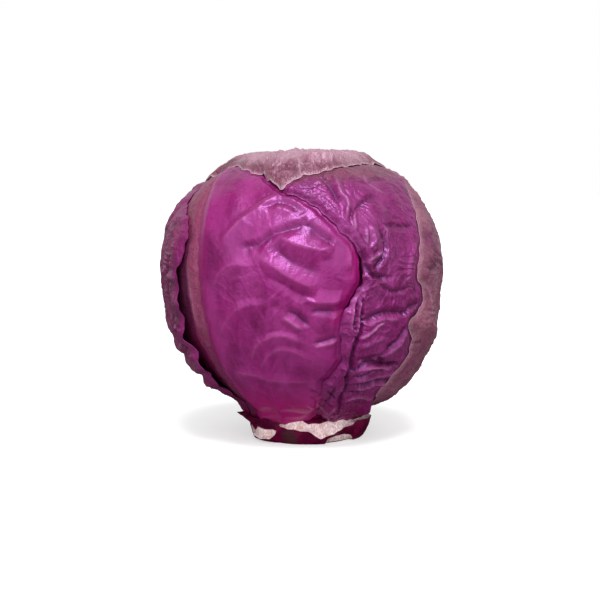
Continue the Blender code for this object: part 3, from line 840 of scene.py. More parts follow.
    left_outer = Leaf(
        "left_outer_leaf",
        centre=(-105, 0),
        outline=((-78, -65), (-62, -58), (-56, -47), (-54, -38), (-53.5, -31), (-55, -25), (-57.5, -18),
                 (-57.5, -12), (-58.5, -6), (-60.5, 0), (-60.5, 6), (-59.5, 11), (-58, 16), (-57, 21),
                 (-59, 26), (-66, 30), (-75, 34), (-86, 40), (-98, 48), (-114, 62), (-140, 66), (-156, 40),
                 (-160, 0), (-150, -40), (-128, -62), (-104, -66)),
        rib=((-96, -66), (-108, -30), (-112, 10), (-108, 48)),
        swell=1.6,
        ragged=(1.8, 15),
        lattice=0.9,
        raised=0.6,
        folds=(
            (((-84, 40), (-88, 20), (-92, -4)), 5, 1.4),
            (((-100, 30), (-96, 6), (-98, -24)), 5, 1.4),
            (((-59, -15), (-76, -18), (-94, -11), (-112, -8)), 4.5, 1.7),
            (((-58, -28), (-76, -26), (-93, -29), (-114, -24)), 3.8, 2.4),
            (((-56, -34), (-73, -37), (-89, -34), (-108, -38)), 2.8, 2.6),
            (((-57, -46), (-70, -44), (-84, -49), (-104, -46)), 3.2, 2.4),
            (((-62, -5), (-67, -8)), 3.6, 1.6),
            (((-61, 14), (-66, 20)), 4.0, 1.2),
        ),
        lifts=(((-58, -12), 24, 4.4, 17, 0.35), ((-55, -36), 14, 2.5, 12, 0.3)),
        creases=(
            (((-74, 28.5), (-66, 31), (-58, 32.5)), 2, 2, 0.8, 0.5),
            (((-76, 24), (-68, 26), (-62, 27)), 2, 2, -0.9, -0.5),
            (((-61, 5.2), (-66, 4.8), (-71, 5)), 1.3, 1.3, 3.0, 0.6),
            (((-72, 9), (-77, 6), (-84, 5)), 2.2, 1.6, 1.6, 0.15),
            (((-62, 9), (-67, 7.6), (-74, 8)), 1.5, 1.5, -1.4, -0.8),
            (((-62, 1.5), (-67, 2.6), (-74, 2)), 1.5, 1.5, -1.4, -0.8),
            (((-60, -14), (-66, -18), (-76, -16)), 2, 2, -1.4, -0.7),
            (((-58, -22), (-66, -24), (-74, -23)), 2, 2, -1.4, -0.7),
            (((-56, -28), (-62, -31), (-70, -30)), 2, 2, -1.2, -0.7),
            (((-62, 18), (-70, 10), (-72, -6), (-66, -20), (-62, -34)), 3, 4, -1.5, -0.4),
            (((-80, 20), (-84, 0), (-80, -20), (-72, -40)), 4, 4, 1.2, 0.1),
        ),
        pucker=(0.45, 14, 12),
        crumple=(0.6, 14, 22),
        veins=(9, 50, 66),
        rib_rise=2.4,
        vein_rise=0.8,
        facets=(9.5, 1.1, 0.9),
        frill=0.8,
        seed=21,
    )
    right_outer = Leaf(
        "right_outer_leaf",
        centre=(100, 0),
        outline=((96, -64), (78, -59), (58, -53), (49, -45), (51, -38), (54, -32), (57, -26), (55, -19),
                 (52, -14), (54, -10.5), (58, -8), (61, -5), (60.5, -1), (58, 3), (56, 8), (60, 17), (65, 28),
                 (76, 40), (90, 50), (96, 60), (130, 68), (152, 50), (160, 10), (156, -30), (138, -60),
                 (108, -66)),
        rib=((96, -66), (104, -30), (108, 10), (110, 48)),
        swell=1.4,
        ragged=(1.4, 18),
        lattice=0.9,
        raised=0.3,
        folds=(
            (((66, -14), (80, -20), (96, -24)), 5, 1.4),
            (((70, 22), (82, 8), (98, 0)), 5, 1.4),
        ),
        creases=(
            (((55, -21), (59, -21.4), (64, -21)), 1.2, 1.2, -1.2, -1.0),
            (((56, 4), (61, 2.5), (66, -3), (68, -12)), 1.5, 2.5, 0.8, 0.4),
            (((60, 10), (66, 8), (74, 10)), 2, 3, -0.9, -0.5),
            (((62, -30), (70, -34), (82, -34)), 2, 3, -1.0, -0.4),
        ),
        pucker=(0.45, 14, 11),
        crumple=(0.55, 18, 12),
        veins=(9, 50, 66),
        rib_rise=2.2,
        vein_rise=0.75,
        facets=(10, 0.8, 0.9),
        edge=0.12,
        frill=0.2,
        seed=31,
    )
    crown = Leaf(
        "crown_leaf",
        centre=(180, 30),
        outline=((-166, -65), (-148, -50), (-136, -25), (-130, 5), (-122, 28), (-104, 46), (-80, 57),
                 (-70, 60), (-53, 58), (-38, 57), (-30, 56), (-21, 51), (-11, 46), (-5, 50), (2, 53),
                 (11, 55), (24, 58), (37, 60), (66, 62), (96, 57), (118, 40), (128, 20), (134, -5),
                 (140, -30), (150, -52), (168, -65)),
        rib=((180, -66), (180, -30), (179, 10), (182, 50), (176, 80), (-8, 70), (-11, 50)),
        swell=1.2,
        ragged=(1.6, 17),
        lattice=1.05,
        raised=0.4,
        folds=(
            (((-150, 30), (-164, 10), (-174, -14)), 5, 1.6),
            (((150, 34), (164, 12), (174, -10)), 5, 1.6),
            (((-130, 60), (-165, 52), (179, 36)), 5, 1.4),
            (((110, 62), (150, 58), (178, 44)), 5, 1.4),
            (((15, 68), (42, 65), (68, 59)), 8, 3.0),
        ),
        creases=(
            (((-60, 66), (-30, 64), (0, 64), (30, 66)), 3, 3, 0.7, 0.3),
            (((-50, 61), (-28, 60), (-8, 57), (8, 60)), 2, 3, -0.7, -0.4),
            (((-24, 56), (-14, 53), (-6, 55)), 1.5, 2, 0.6, 0.3),
        ),
        pucker=(0.5, 15, 9),
        crumple=(0.65, 15, 8),
        veins=(13, 50, 78),
        rib_rise=2.4,
        vein_rise=0.8,
        facets=(10, 0.9, 0.6),
        edge=0.12,
        frill=0.2,
        seed=41,
    )
    return [left, front, right, left_outer, right_outer, crown]


LEAVES = leaves()


def stalk(toward):
    """How far the leaves run out from the ball of the head at its foot, down to the stem."""
    share = np.clip((STALK_FROM - latitude_of(toward)) / (STALK_FROM - BASE_LATITUDE), 0, STALK_END)
    return STALK_DROP * share**STALK_CURVE


def draped(number, toward):
    """A leaf's two faces as radii, and the marks that its finish reads.

    A leaf follows what is beneath it at a distance, and its margin is pressed down on the ground: the heart,
    or the outer face of the topmost leaf beneath.
    """
    heart = heart_radius(toward)
    radius, ground = heart + FIRST_GAP, heart
    hiding = [leaf.cover(toward, HIDING_REACH) for leaf in LEAVES]
    for index, leaf in enumerate(LEAVES[: number + 1]):
        seen = np.ones(len(toward))
        for above in hiding[index + 1 :]:
            seen = seen * (1 - above)
        places = leaf.to_map(toward)
        own = index == number
        ring, step = (leaf.outline, leaf.lattice) if own else (leaf.coarse, COARSE_STEP)
        inside, along = leaf.edge(places, ring, step)
        relief, lift = leaf.broad_relief(toward, places, inside, along)
        if not own:
            there = smooth((inside + CLIMB) / CLIMB)
            face = radius + (relief + lift) * seen + BLADE
            ground = np.maximum(ground, heart + (face - heart) * there)
            radius = radius + leaf.cover(toward, COVER_REACH) * (SPACING + (relief + lift) * seen)
            continue
        fine, vein, drawn = leaf.fine_relief(toward, places, inside)
        pressed = 1 - smooth(inside / leaf.pressed)
        free = radius + np.maximum((relief + fine) * seen, DEEPEST_VALLEY)
        rest = ground + CLEAR + np.maximum((relief + fine) * PRESSED_RELIEF * seen, 0)
        radius = free + (rest - free) * pressed * PRESSED_SHARE + lift * seen
        blade = leaf.edge_blade + (BLADE - leaf.edge_blade) * smooth(inside / EDGE_TAPER)
        outer = radius + blade + leaf.rib_height(places) * seen
    return radius + stalk(toward), outer + stalk(toward), inside / MM, vein, drawn, fine / MM


def filled_map(number):
    """Triangles over the leaf's map: its outline and an even lattice in it, coarser where leaves hide it."""
    leaf = LEAVES[number]
    low, high = leaf.outline.min(axis=0), leaf.outline.max(axis=0)
    lattice = []
    for row, height in enumerate(np.arange(low[1], high[1], leaf.lattice * math.sqrt(3) / 2)):
        across = np.arange(low[0] + leaf.lattice / 2 * (row % 2), high[0], leaf.lattice)
        coarse = (np.arange(len(across)) % HIDDEN_EVERY == 0) & (row % HIDDEN_EVERY == 0)
        lattice.append(np.column_stack((across, np.full(len(across), height), coarse)))
    lattice = np.concatenate(lattice)
    lattice = lattice[leaf.about_inside(lattice[:, :2]) > -leaf.lattice]
    inside, _ = leaf.edge(lattice[:, :2], leaf.outline, leaf.lattice)
    lattice = lattice[inside > KEEP_OFF_EDGE * leaf.lattice]
    toward = leaf.from_map(lattice[:, :2])
    hidden = np.zeros(len(lattice), bool)
    for above in LEAVES[number + 1 :]:
        hidden |= above.about_inside(above.to_map(toward)) > HIDDEN_DEPTH
    lattice = lattice[~hidden | (lattice[:, 2] > 0)]
    points = [Vector(point) for point in np.concatenate((leaf.outline, lattice[:, :2]))]
    edges = [(i, (i + 1) % len(leaf.outline)) for i in range(len(leaf.outline))]
    flat = delaunay_2d_cdt(points, edges, [], 1, MERGED)
    return np.array([tuple(point) for point in flat[0]]), np.array(flat[2])


def shell(name, outer, inner, triangles, marks):
    """A closed blade from its two faces, with a rim between them, and the marks that its finish reads."""
    count = len(outer)
    edges = np.concatenate((triangles[:, (0, 1)], triangles[:, (1, 2)], triangles[:, (2, 0)]))
    keys = set(map(tuple, edges))
    rim = np.array([edge for edge in map(tuple, edges) if edge[::-1] not in keys])
    first, second = rim[:, 0], rim[:, 1]
    sides = np.concatenate((
        np.stack((second, first, first + count), axis=-1),
        np.stack((second, first + count, second + count), axis=-1),
    ))
    faces = np.concatenate((triangles, triangles[:, ::-1] + count, sides))
    return mesh_object(name, np.concatenate((outer, inner)), faces, marks)


def mesh_object(name, points, faces, marks, sharp=40):
    """A smooth object of these faces, whose named marks are kept at its points."""
    mesh = bpy.data.meshes.new(name)
    mesh.from_pydata(points.tolist(), [], faces.tolist())
    for mark, values in marks.items():
        kind = "FLOAT_VECTOR" if values.ndim > 1 else "FLOAT"
        layer = mesh.attributes.new(mark, kind, "POINT")
        layer.data.foreach_set("vector" if values.ndim > 1 else "value", values.astype(np.float32).ravel())
    mesh.shade_smooth()
    mesh.set_sharp_from_angle(angle=math.radians(sharp))
    mesh.update()
    built = bpy.data.objects.new(name, mesh)
    bpy.context.scene.collection.objects.link(built)
    return built


def leaf_object(number):
    """The leaf draped on the head, as a thin closed blade."""
    leaf = LEAVES[number]
    places, triangles = filled_map(number)
    toward = leaf.from_map(places)
    inner, outer, margin, vein, drawn, fine = draped(number, toward)

    def both(values):
        return np.concatenate((values, values))

    marks = {
        "map": both(np.column_stack((places / MM, np.zeros(len(places))))),
        "margin": both(margin),
        "vein": both(vein),
        "drawn": both(drawn),
        "fine": both(fine),
        "base": both(latitude_of(toward)),
        "outer": np.concatenate((np.ones(len(places)), np.zeros(len(places)))),
    }
    return shell(
        leaf.name + "_blade",
        HEAD_CENTRE + toward * outer[:, None],
        HEAD_CENTRE + toward * inner[:, None],
        triangles,
        marks,
    )


def round_stem(longitude):
    """The reach of the cut and its lower and upper height at these longitudes, in metres."""
    cuts = np.array(STEM_CUTS, float)
    cuts = cuts[np.argsort(cuts[:, 0])]
    around = np.concatenate((cuts[-2:] - (360, 0, 0, 0), cuts, cuts[:2] + (360, 0, 0, 0)))
    wanted = (np.asarray(longitude) + 180) % 360 - 180
    return [np.interp(wanted, around[:, 0], around[:, column]) * MM for column in (1, 2, 3)]


def stump_object():
    """The stem's foot: purple rind, the pale slanting cuts of the trimmed stalks, and the flat cut below."""
    columns = STEM_COLUMNS
    longitude = np.arange(columns) * 360 / columns
    reach, low, high = round_stem(longitude)
    top = np.maximum(high + SHOULDER_RISE, LOWEST_TOP)
    flat = direction(longitude, 0 * longitude)
    rings, cuts = [], []

    def ring(radius, height, cut):
        rings.append(np.column_stack((flat[:, :2] * radius[:, None], height)))
        cuts.append(np.zeros(columns) + cut)

    full = np.ones(columns)
    lip = np.zeros(columns)
    for at, half, up in LOW_CUTS:
        apart = abs((longitude - at + 180) % 360 - 180) / half
        lip = np.maximum(lip, up * MM * np.sqrt(np.clip(1 - apart**2, 0, 1)))
    for share in FOOT_SHARES:
        ring(full * STEM_FOOT * share, full * 0.0, 1)
    ring(full * (STEM_FOOT - FOOT_ROUND), full * 0.0, 1)
    start = STEM_FOOT + FOOT_OUT + (reach - STEM_FOOT) * FOOT_TAPER
    for share in LIP_SHARES:
        radius = STEM_FOOT + FOOT_OUT + (reach - STEM_FOOT) * FOOT_TAPER * share
        ring(radius, FOOT_UP + lip * share, (lip > LIP_SEEN) * (0 < share < 1))
    for share in RIND_SHARES:
        bulge = np.sin(share * math.pi) * RIND_BULGE
        radius = start + (reach - start) * share**RIND_CURVE + bulge
        ring(radius, FOOT_UP + lip + (low - lip) * share, 0)
    inner = (reach + STEM_SHOULDER) / 2 + CUT_LIP
    for share in CUT_SHARES:
        hollow = np.sin(share * math.pi) * CUT_HOLLOW
        ring(reach + (inner - reach) * share - hollow, low + (high - low) * share, 1)
    stub = np.interp((longitude + 180) % 360 - 180, *np.array(STUB, float).T) * MM
    for share in SHOULDER_SHARES:
        out = (share / STUB_TIP) ** STUB_CURVE if share < STUB_TIP else (1 - share) / (1 - STUB_TIP)
        ring(inner + (STEM_TOP - inner) * share**2 + stub * out, high + (top - high) * share, 0)
    behind = (0.5 - 0.5 * np.cos(np.radians(longitude))) ** 2
    for share in NECK_SHARES:
        ring(STEM_TOP + (NECK_FLARE + BACK_FLARE * behind) * share, top + NECK_RISE * share, 0)
    ring(full * NECK_TOP, top + NECK_RISE + NECK_CLOSING, 0)
    faces = []
    for level in range(len(rings) - 1):
        here = np.arange(columns) + level * columns
        there = np.roll(np.arange(columns), -1) + level * columns
        faces.append(np.stack((here, there, there + columns, here + columns), axis=-1))
    points = torn_surface(np.concatenate(rings))
    marks = {"cut": np.concatenate(cuts)}
    return mesh_object("cut_stem", points, np.concatenate(faces), marks, STEM_SHARP)


def torn_surface(points):
    """The stem's points moved a little, as a blunt knife and drying leave them, with the foot kept flat."""
    outward = points * (1, 1, 0)
    outward /= np.maximum(np.linalg.norm(outward, axis=1, keepdims=True), SLACK)
    moved = sum(noise(points / (size * MM), seed) * share for size, share, seed in TORN)
    points = points + outward * (moved * MM * smooth(points[:, 2] / TORN_FROM))[:, None]
    size, share, seed = SAGGING
    points[:, 2] += noise(points / (size * MM), seed) * share * MM * smooth(points[:, 2] / SAGGING_FROM)
    return points


class Wire:
    """A value or a colour on its way through a material, so that its maths reads as maths."""

    def __init__(self, finish, socket):
        self.finish = finish
        self.socket = socket

    def maths(self, operation, *values):
        return self.finish.node("ShaderNodeMath", {"operation": operation}, dict(enumerate(values)))

    def __add__(self, other):
        return self.maths("ADD", self, other)

    def __sub__(self, other):
        return self.maths("SUBTRACT", self, other)

    def __mul__(self, other):
        return self.maths("MULTIPLY", self, other)

    def __rsub__(self, other):
        return self.maths("SUBTRACT", other, self)

    __radd__ = __add__
    __rmul__ = __mul__

    def clipped(self):
        """The value held between 0 and 1."""
        return self.finish.node("ShaderNodeClamp", {}, {"Value": self})

    def between(self, low, high):
        """0 below low, 1 above high, and an S between."""
        return self.finish.node(
            "ShaderNodeMapRange",
            {"interpolation_type": "SMOOTHSTEP"},
            {"Value": self, "From Min": low, "From Max": high},
        )


class Finish:
    """A material made of nodes, with one Principled shader."""

    def __init__(self, name, constants):
        self.material = bpy.data.materials.new(name)
        self.material.use_nodes = True
        self.tree = self.material.node_tree
        self.shader = self.tree.nodes["Principled BSDF"]
        for socket, value in constants.items():
            self.shader.inputs[socket].default_value = value

    def node(self, kind, settings, sockets, out=0):
        """A node of this kind: its settings first, then the values or wires of its sockets."""
        made = self.tree.nodes.new(kind)
        for setting, value in settings.items():
            setattr(made, setting, value)
        for socket, value in sockets.items():
            self.join(made.inputs[socket], value)
        return Wire(self, made.outputs[out])

    def join(self, socket, value):
        if isinstance(value, Wire):
            self.tree.links.new(value.socket, socket)
        elif isinstance(value, tuple) and len(value) == 3 and socket.type == "RGBA":
            socket.default_value = (*value, 1)
        else:
            socket.default_value = value

    def mark(self, name, out="Fac"):
        """A mark kept at the mesh's points."""
        return self.node("ShaderNodeAttribute", {"attribute_name": name}, {}, out)

    def mix(self, share, first, second):
        """Two colours mixed: the second one's share goes from 0 to 1."""
        return self.node("ShaderNodeMix", {"data_type": "RGBA"}, {0: share, 6: first, 7: second}, 2)

    def layered(self, colour, layers):
        """A colour with others laid over it in turn, each by its share."""
        for share, second in layers:
            colour = self.mix(share, colour, second)
        return colour

    def scaled(self, vector, by):
        return self.node("ShaderNodeVectorMath", {"operation": "MULTIPLY"}, {0: vector, 1: by})

    def moved(self, vector, by):
        return self.node("ShaderNodeVectorMath", {"operation": "ADD"}, {0: vector, 1: by})

    def cloud(self, vector, size, detail=3.0, rough=0.55, out=0):
        """Soft noise from 0 to 1 with lumps of this size."""
        sockets = {"Vector": vector, "Scale": 1 / size, "Detail": detail, "Roughness": rough}
        return self.node("ShaderNodeTexNoise", {}, sockets, out)

    def net(self, vector, size, width):
        """The lines of a net of veins: 1 on a line, 0 inside a mesh."""
        edge = self.node(
            "ShaderNodeTexVoronoi", {"feature": "DISTANCE_TO_EDGE"}, {"Vector": vector, "Scale": 1 / size}
        )
        return 1 - edge.between(0.0, width / size)

    def bump(self, height, strength, distance):
        """Sends a height to the shader's normal."""
        made = self.node("ShaderNodeBump", {}, {"Height": height, "Strength": strength, "Distance": distance})
        self.join(self.shader.inputs["Normal"], made)

    def colour(self, wire):
        self.join(self.shader.inputs["Base Color"], wire)

    def roughness(self, wire):
        self.join(self.shader.inputs["Roughness"], wire)


INSIDE_COLOUR = (0.13, 0.008, 0.05)
# The pale drawn line: part pale rib, part painted highlight along the ridges of creases
PALE_RIB_AND_RIDGE_HIGHLIGHT = (0.46, 0.24, 0.38)
SKIN_DEPTH = 0.0006
WAXY = 0.85


def leaf_finish(name, skin, deep, lit, bloom, vein_colour, base, rim, bloom_share, vein_share, net_share,
                net_size, dark=(0.03, 0.001, 0.018), rough=0.40, grain=0.45, border=(0.2, 0.05, 0.1),
                border_share=0.0, border_width=6.0, high=(0.2, 0.05, 0.1), high_share=0.0, high_from=40.0,
                high_to=50.0, high_net=0.0, net_colour=(0.05, 0.002, 0.022), hollow=0.35, foot_from=-60.0,
                foot_to=-38.0, shaded=None, sheen=(0.86, 0.36, 1.0)):
    """A waxy leaf: clouded skin, a veil of pale bloom, veins and their net, and a thin margin.

    The border lies along the margin, high is the colour of the upper part, base that of the foot, and shaded
    gives the places across the leaf between which it falls into the shadow of the next one.
    """
    leaf = Finish(name, {"Specular IOR Level": WAXY, "Specular Tint": (*sheen, 1.0)})
    place = leaf.mark("map", "Vector")
    margin, vein, drawn, fine, outer, latitude = (
        leaf.mark(mark) for mark in ("margin", "vein", "drawn", "fine", "outer", "base")
    )
    drift = leaf.scaled(leaf.cloud(place, 9.0, 2.0, out="Color"), (3.0, 3.0, 3.0))
    warped = leaf.moved(place, drift)
    broad = leaf.cloud(place, 38.0).between(0.35, 0.65)
    patches = leaf.cloud(leaf.scaled(warped, (1.0, 0.6, 1.0)), 16.0).between(0.38, 0.68)
    streaks = leaf.cloud(leaf.scaled(warped, (1.0, 0.22, 1.0)), 4.0, 4.0, 0.6).between(0.42, 0.68)
    blots = leaf.cloud(place, 5.0, 4.0, 0.6).between(0.40, 0.66)
    flecks = leaf.cloud(place, 1.6, 4.0, 0.65)
    veil = ((patches * 0.5 + flecks.between(0.35, 0.75) * 0.5) * bloom_share).clipped()
    lines = leaf.net(warped, net_size, net_size * 0.10)
    small_lines = leaf.net(warped, net_size * 0.4, net_size * 0.05)
    wide_lines = leaf.net(warped, 8.5, 0.8)
    traced = ((lines * 0.8 + small_lines * 0.35) * net_share).clipped()
    near_margin = 1 - (margin + (flecks - 0.5) * 6.0).between(0.3, border_width)
    wavering = latitude + (leaf.cloud(place, 14.0) - 0.5) * 16.0
    upper = leaf.layered(high, (
        (flecks.between(0.3, 0.7) * 0.3, bloom),
        ((wide_lines * 0.6 + traced * 0.8).clipped() * high_net, net_colour),
    ))
    layers = [
        (patches * 0.5, lit),
        (streaks * 0.3, lit),
        (blots * 0.25, deep),
        # painted highlight: the raised parts of the fine relief are lightened towards the lit colour
        (fine.between(-0.4, 1.2) * 0.3, lit),
        # painted shade: the valleys of the fine relief are darkened towards the dark colour, by the share
        # hollow
        ((1 - fine.between(-2.0, 0.1)) * hollow, dark),
        (veil, bloom),
        (traced, net_colour),
        # painted shade: dark lines along the crease valleys; the pale lines below are part pale rib and part
        # painted highlight on ridges
        ((drawn * -0.85).clipped(), dark),
        (drawn.clipped() * 0.6, PALE_RIB_AND_RIDGE_HIGHLIGHT),
        (near_margin * border_share, border),
        (wavering.between(high_from, high_to) * high_share, upper),
        ((vein.between(0.06, 0.75) * vein_share).clipped(), vein_colour),
    ]
    if shaded:
        across = leaf.node("ShaderNodeSeparateXYZ", {}, {"Vector": warped}, "X")
        layers.append(((1 - across.between(*shaded)) * (1 - latitude.between(12.0, 30.0)) * 0.8, dark))
    layers += [
        ((1 - latitude.between(foot_from, foot_to)) * 0.85, base),
        ((1 - margin.between(0.1, 0.6)) * 0.55, rim),
    ]
    body = leaf.layered(leaf.mix(broad, skin, deep), layers)
    leaf.colour(leaf.mix(outer, INSIDE_COLOUR, body))
    leaf.roughness((flecks - 0.5) * 0.25 + veil * 0.25 + rough)
    relief = flecks * 0.8 + blots * 0.8 + patches * 0.8 - lines * 0.5 - small_lines * 0.25
    leaf.bump(relief, grain, SKIN_DEPTH)
    return leaf.material


def stem_finish():
    """Purple rind, and pale fibrous cuts with tan and grey patches that have started to dry."""
    stem = Finish("stem_cut_and_rind", {"Specular IOR Level": 0.06})
    place = stem.scaled(stem.node("ShaderNodeTexCoord", {}, {}, "Object"), TO_MM)
    cut = stem.mark("cut")
    wander = stem.cloud(place, 2.6, 4.0, 0.6)
    pale = (cut + (wander - 0.5) * 0.55).between(0.40, 0.60)
    fibres = stem.cloud(stem.scaled(place, (1.0, 1.0, 0.35)), 0.8, 3.0)
    tan = stem.cloud(place, 4.5, 3.0).between(0.52, 0.66)
    grey = stem.cloud(stem.moved(place, (31.0, 7.0, 3.0)), 4.0, 3.0).between(0.56, 0.68)
    clouded = stem.cloud(place, 7.0, 3.0).between(0.38, 0.64)
    specks = stem.cloud(place, 1.4, 3.0).between(0.55, 0.8)
    dried = stem.node("ShaderNodeVectorMath", {"operation": "DISTANCE"}, {0: place, 1: DRIED_AT}, "Value")
    dried = 1 - (dried + (wander - 0.5) * 6.0).between(4.0, 6.5)
    flesh = stem.layered((0.62, 0.41, 0.45), (
        (fibres.between(0.35, 0.7), (0.95, 0.80, 0.77)),
        (tan * 0.7, (0.52, 0.32, 0.22)),
        (grey * 0.4, (0.36, 0.27, 0.27)),
        ((1 - cut.between(0.55, 0.98)) * 0.5, (0.45, 0.18, 0.33)),
    ))
    rind = stem.layered((0.115, 0.0005, 0.030), (
        (clouded, (0.055, 0.0003, 0.015)),
        (specks * 0.25, (0.20, 0.02, 0.10)),
        (dried * 0.75, (0.045, 0.018, 0.02)),
    ))
    stem.colour(stem.mix(pale, rind, flesh))
    stem.roughness(pale * 0.3 + fibres * 0.15 + 0.38)
    stem.bump(fibres * 0.7 + wander * 0.6 + pale * 0.3, 0.6, SKIN_DEPTH)
    return stem.material


def heart_finish():
    """The dark packed leaves, seen only in the gap between the front leaves."""
    heart = Finish("heart_in_shadow", {"Specular IOR Level": 0.25})
    place = heart.scaled(heart.node("ShaderNodeTexCoord", {}, {}, "Object"), TO_MM)
    cloud = heart.cloud(place, 8.0).between(0.35, 0.65)
    lines = heart.net(place, 7.0, 0.9)
    layers = ((cloud, (0.10, 0.002, 0.055)), (lines * 0.5, (0.18, 0.01, 0.11)))
    heart.colour(heart.layered((0.16, 0.004, 0.09), layers))
    heart.roughness(cloud * 0.2 + 0.4)
    heart.bump(cloud * 0.6 - lines * 0.4, 0.5, 0.0008)
    return heart.material


def floor_object():
    """The plain pale floor, round, as wide as the view needs."""
    around = np.radians(np.arange(0, 360, 3))
    rim = np.column_stack((np.cos(around), np.sin(around), 0 * around)) * FLOOR_RADIUS
    floor = mesh_object("floor", rim, np.arange(len(rim))[None, :], {})
    paint = Finish("pale_floor", {"Roughness": 0.9, "Specular IOR Level": 0.1})
    seen = paint.node("ShaderNodeLightPath", {}, {}, "Is Camera Ray")
    mirrored = paint.node("ShaderNodeLightPath", {}, {}, "Is Glossy Ray")
    paint.colour(paint.mix(mirrored, (FLOOR_BOUNCE,) * 3, (FLOOR_MIRRORED,) * 3))
    paint.shader.inputs["Emission Strength"].default_value = FLOOR_GLOW
    paint.join(paint.shader.inputs["Emission Color"], paint.mix(seen, (0, 0, 0), (1, 1, 1)))
    floor.data.materials.append(paint.material)


def soft_sun(name, place, power, spread):
    """A far, wide lamp that shines from this side, its size in degrees."""
    lamp = bpy.data.lights.new(name, "SUN")
    lamp.energy = power
    lamp.angle = math.radians(spread)
    stand = bpy.data.objects.new(name, lamp)
    stand.location = place
    stand.rotation_euler = Vector(place).to_track_quat("Z", "Y").to_euler()
    bpy.context.scene.collection.objects.link(stand)


def studio():
    """White surroundings, wide lamps in front, above and behind, and the camera at the photograph's angle."""
    world = bpy.data.worlds.new("white_room")
    bpy.context.scene.world = world
    world.use_nodes = True
    nodes, links = world.node_tree.nodes, world.node_tree.links
    nodes["Background"].inputs["Color"].default_value = (1, 1, 1, 1)
    light_path = nodes.new("ShaderNodeLightPath")
    strength = nodes.new("ShaderNodeMapRange")
    strength.inputs["To Min"].default_value = WORLD_LIGHT
    strength.inputs["To Max"].default_value = 1.0
    links.new(light_path.outputs["Is Camera Ray"], strength.inputs["Value"])
    links.new(strength.outputs["Result"], nodes["Background"].inputs["Strength"])
    for name, (place, power, spread) in LAMPS.items():
        soft_sun(name, place, power, spread)
    camera = bpy.data.objects.new("camera", bpy.data.cameras.new("camera"))
    rise = math.radians(VIEW_ELEVATION)
    back = Vector((0, -math.cos(rise), math.sin(rise)))
    camera.location = Vector(VIEW_TARGET) + back * VIEW_DISTANCE
    camera.rotation_euler = (-back).to_track_quat("-Z", "Y").to_euler()
    camera.data.sensor_width = SENSOR_WIDTH
    camera.data.lens = SENSOR_WIDTH * VIEW_DISTANCE / (IMAGE_WIDTH * METRES_PER_PIXEL)
    bpy.context.scene.collection.objects.link(camera)
    bpy.context.scene.camera = camera
    bpy.context.scene.view_settings.view_transform = "Standard"


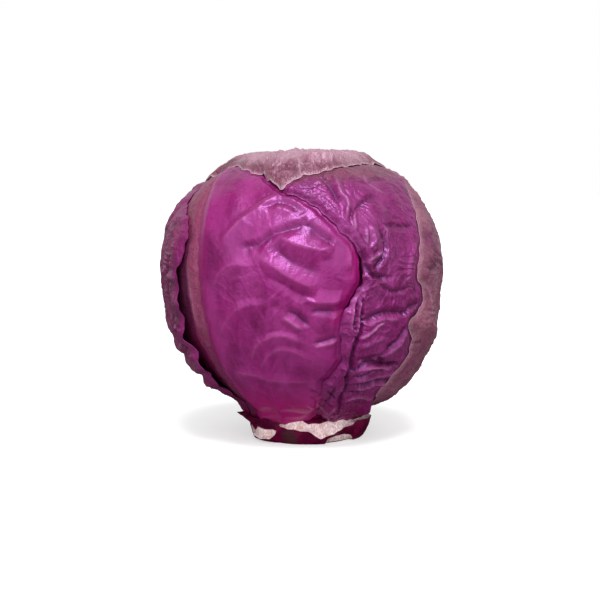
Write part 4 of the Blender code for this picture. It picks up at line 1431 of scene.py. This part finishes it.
FINISHES = {
    "left_leaf": dict(
        skin=(0.18, 0.022, 0.062), deep=(0.14, 0.010, 0.052), lit=(0.22, 0.050, 0.105),
        bloom=(0.24, 0.055, 0.115), vein_colour=(0.26, 0.05, 0.115), base=(0.11, 0.0006, 0.038),
        rim=(0.14, 0.01, 0.05), high=(0.125, 0.006, 0.038), dark=(0.05, 0.0005, 0.025), sheen=(0.9, 0.6, 0.9),
        bloom_share=0.35, vein_share=0.3, net_share=0.1, net_size=7.0, high_share=0.85, high_from=8.0,
        high_to=32.0, foot_from=-26.0, foot_to=-6.0, shaded=(27.0, 34.0),
    ),
    "front_leaf": dict(
        skin=(0.156, 0.001, 0.072), deep=(0.090, 0.0004, 0.037), lit=(0.235, 0.018, 0.128),
        bloom=(0.26, 0.028, 0.18), vein_colour=(0.22, 0.012, 0.13), base=(0.26, 0.0005, 0.088),
        rim=(0.15, 0.002, 0.07), border=(0.27, 0.003, 0.115), bloom_share=0.2, vein_share=0.25,
        net_share=0.04, net_size=9.0, rough=0.34, grain=0.16, border_share=0.55, border_width=12.0,
    ),
    "right_leaf": dict(
        skin=(0.142, 0.003, 0.070), deep=(0.085, 0.001, 0.038), lit=(0.195, 0.014, 0.116),
        bloom=(0.22, 0.045, 0.15), vein_colour=(0.20, 0.02, 0.13), base=(0.125, 0.001, 0.048),
        rim=(0.10, 0.004, 0.05), high=(0.112, 0.024, 0.026), net_colour=(0.035, 0.002, 0.012),
        bloom_share=0.2, vein_share=0.25, net_share=0.35, net_size=5.5, rough=0.34, grain=0.25, hollow=0.4,
        high_share=0.9, high_from=44.0, high_to=52.0, high_net=1.0,
    ),
    "left_outer_leaf": dict(
        skin=(0.13, 0.008, 0.052), deep=(0.08, 0.002, 0.030), lit=(0.17, 0.012, 0.080),
        bloom=(0.23, 0.048, 0.090), vein_colour=(0.30, 0.13, 0.17), base=(0.12, 0.001, 0.04),
        rim=(0.16, 0.01, 0.08), border=(0.14, 0.004, 0.08), bloom_share=0.3, vein_share=0.55, net_share=0.15,
        net_size=4.5, rough=0.32, hollow=0.6, border_share=0.6, border_width=8.0,
    ),
    "right_outer_leaf": dict(
        skin=(0.150, 0.021, 0.055), deep=(0.10, 0.004, 0.045), lit=(0.19, 0.060, 0.085),
        bloom=(0.25, 0.12, 0.155), vein_colour=(0.32, 0.17, 0.22), base=(0.12, 0.004, 0.045),
        rim=(0.40, 0.27, 0.30), border=(0.27, 0.14, 0.17), high=(0.24, 0.115, 0.17), sheen=(0.9, 0.6, 0.9),
        bloom_share=0.35, vein_share=0.55, net_share=0.35, net_size=5.0, rough=0.42, border_share=0.45,
        border_width=3.5, high_share=0.6, high_from=42.0, high_to=58.0, high_net=0.3,
    ),
    "crown_leaf": dict(
        skin=(0.118, 0.015, 0.039), deep=(0.088, 0.006, 0.029), lit=(0.155, 0.038, 0.064),
        bloom=(0.30, 0.17, 0.21), vein_colour=(0.34, 0.19, 0.25), base=(0.11, 0.004, 0.04),
        rim=(0.46, 0.31, 0.36), border=(0.38, 0.24, 0.28), high=(0.31, 0.165, 0.215),
        net_colour=(0.05, 0.007, 0.018), sheen=(0.9, 0.65, 0.9), bloom_share=0.25, vein_share=0.5,
        net_share=0.6, net_size=6.0, rough=0.40, border_share=0.5, border_width=2.5, hollow=0.6,
        high_share=0.95, high_from=58.0, high_to=68.0, high_net=0.25,
    ),
}

for number, leaf in enumerate(LEAVES):
    blade = leaf_object(number)
    blade.data.materials.append(leaf_finish(leaf.name + "_skin", **FINISHES[leaf.name]))
    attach(blade, "root")
    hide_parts(leaf.name)

stump = stump_object()
stump.data.materials.append(stem_finish())
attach(stump, "root")
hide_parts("stump")

for node_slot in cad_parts["heart"].material_slots:
    node_slot.material = heart_finish()

floor_object()
studio()
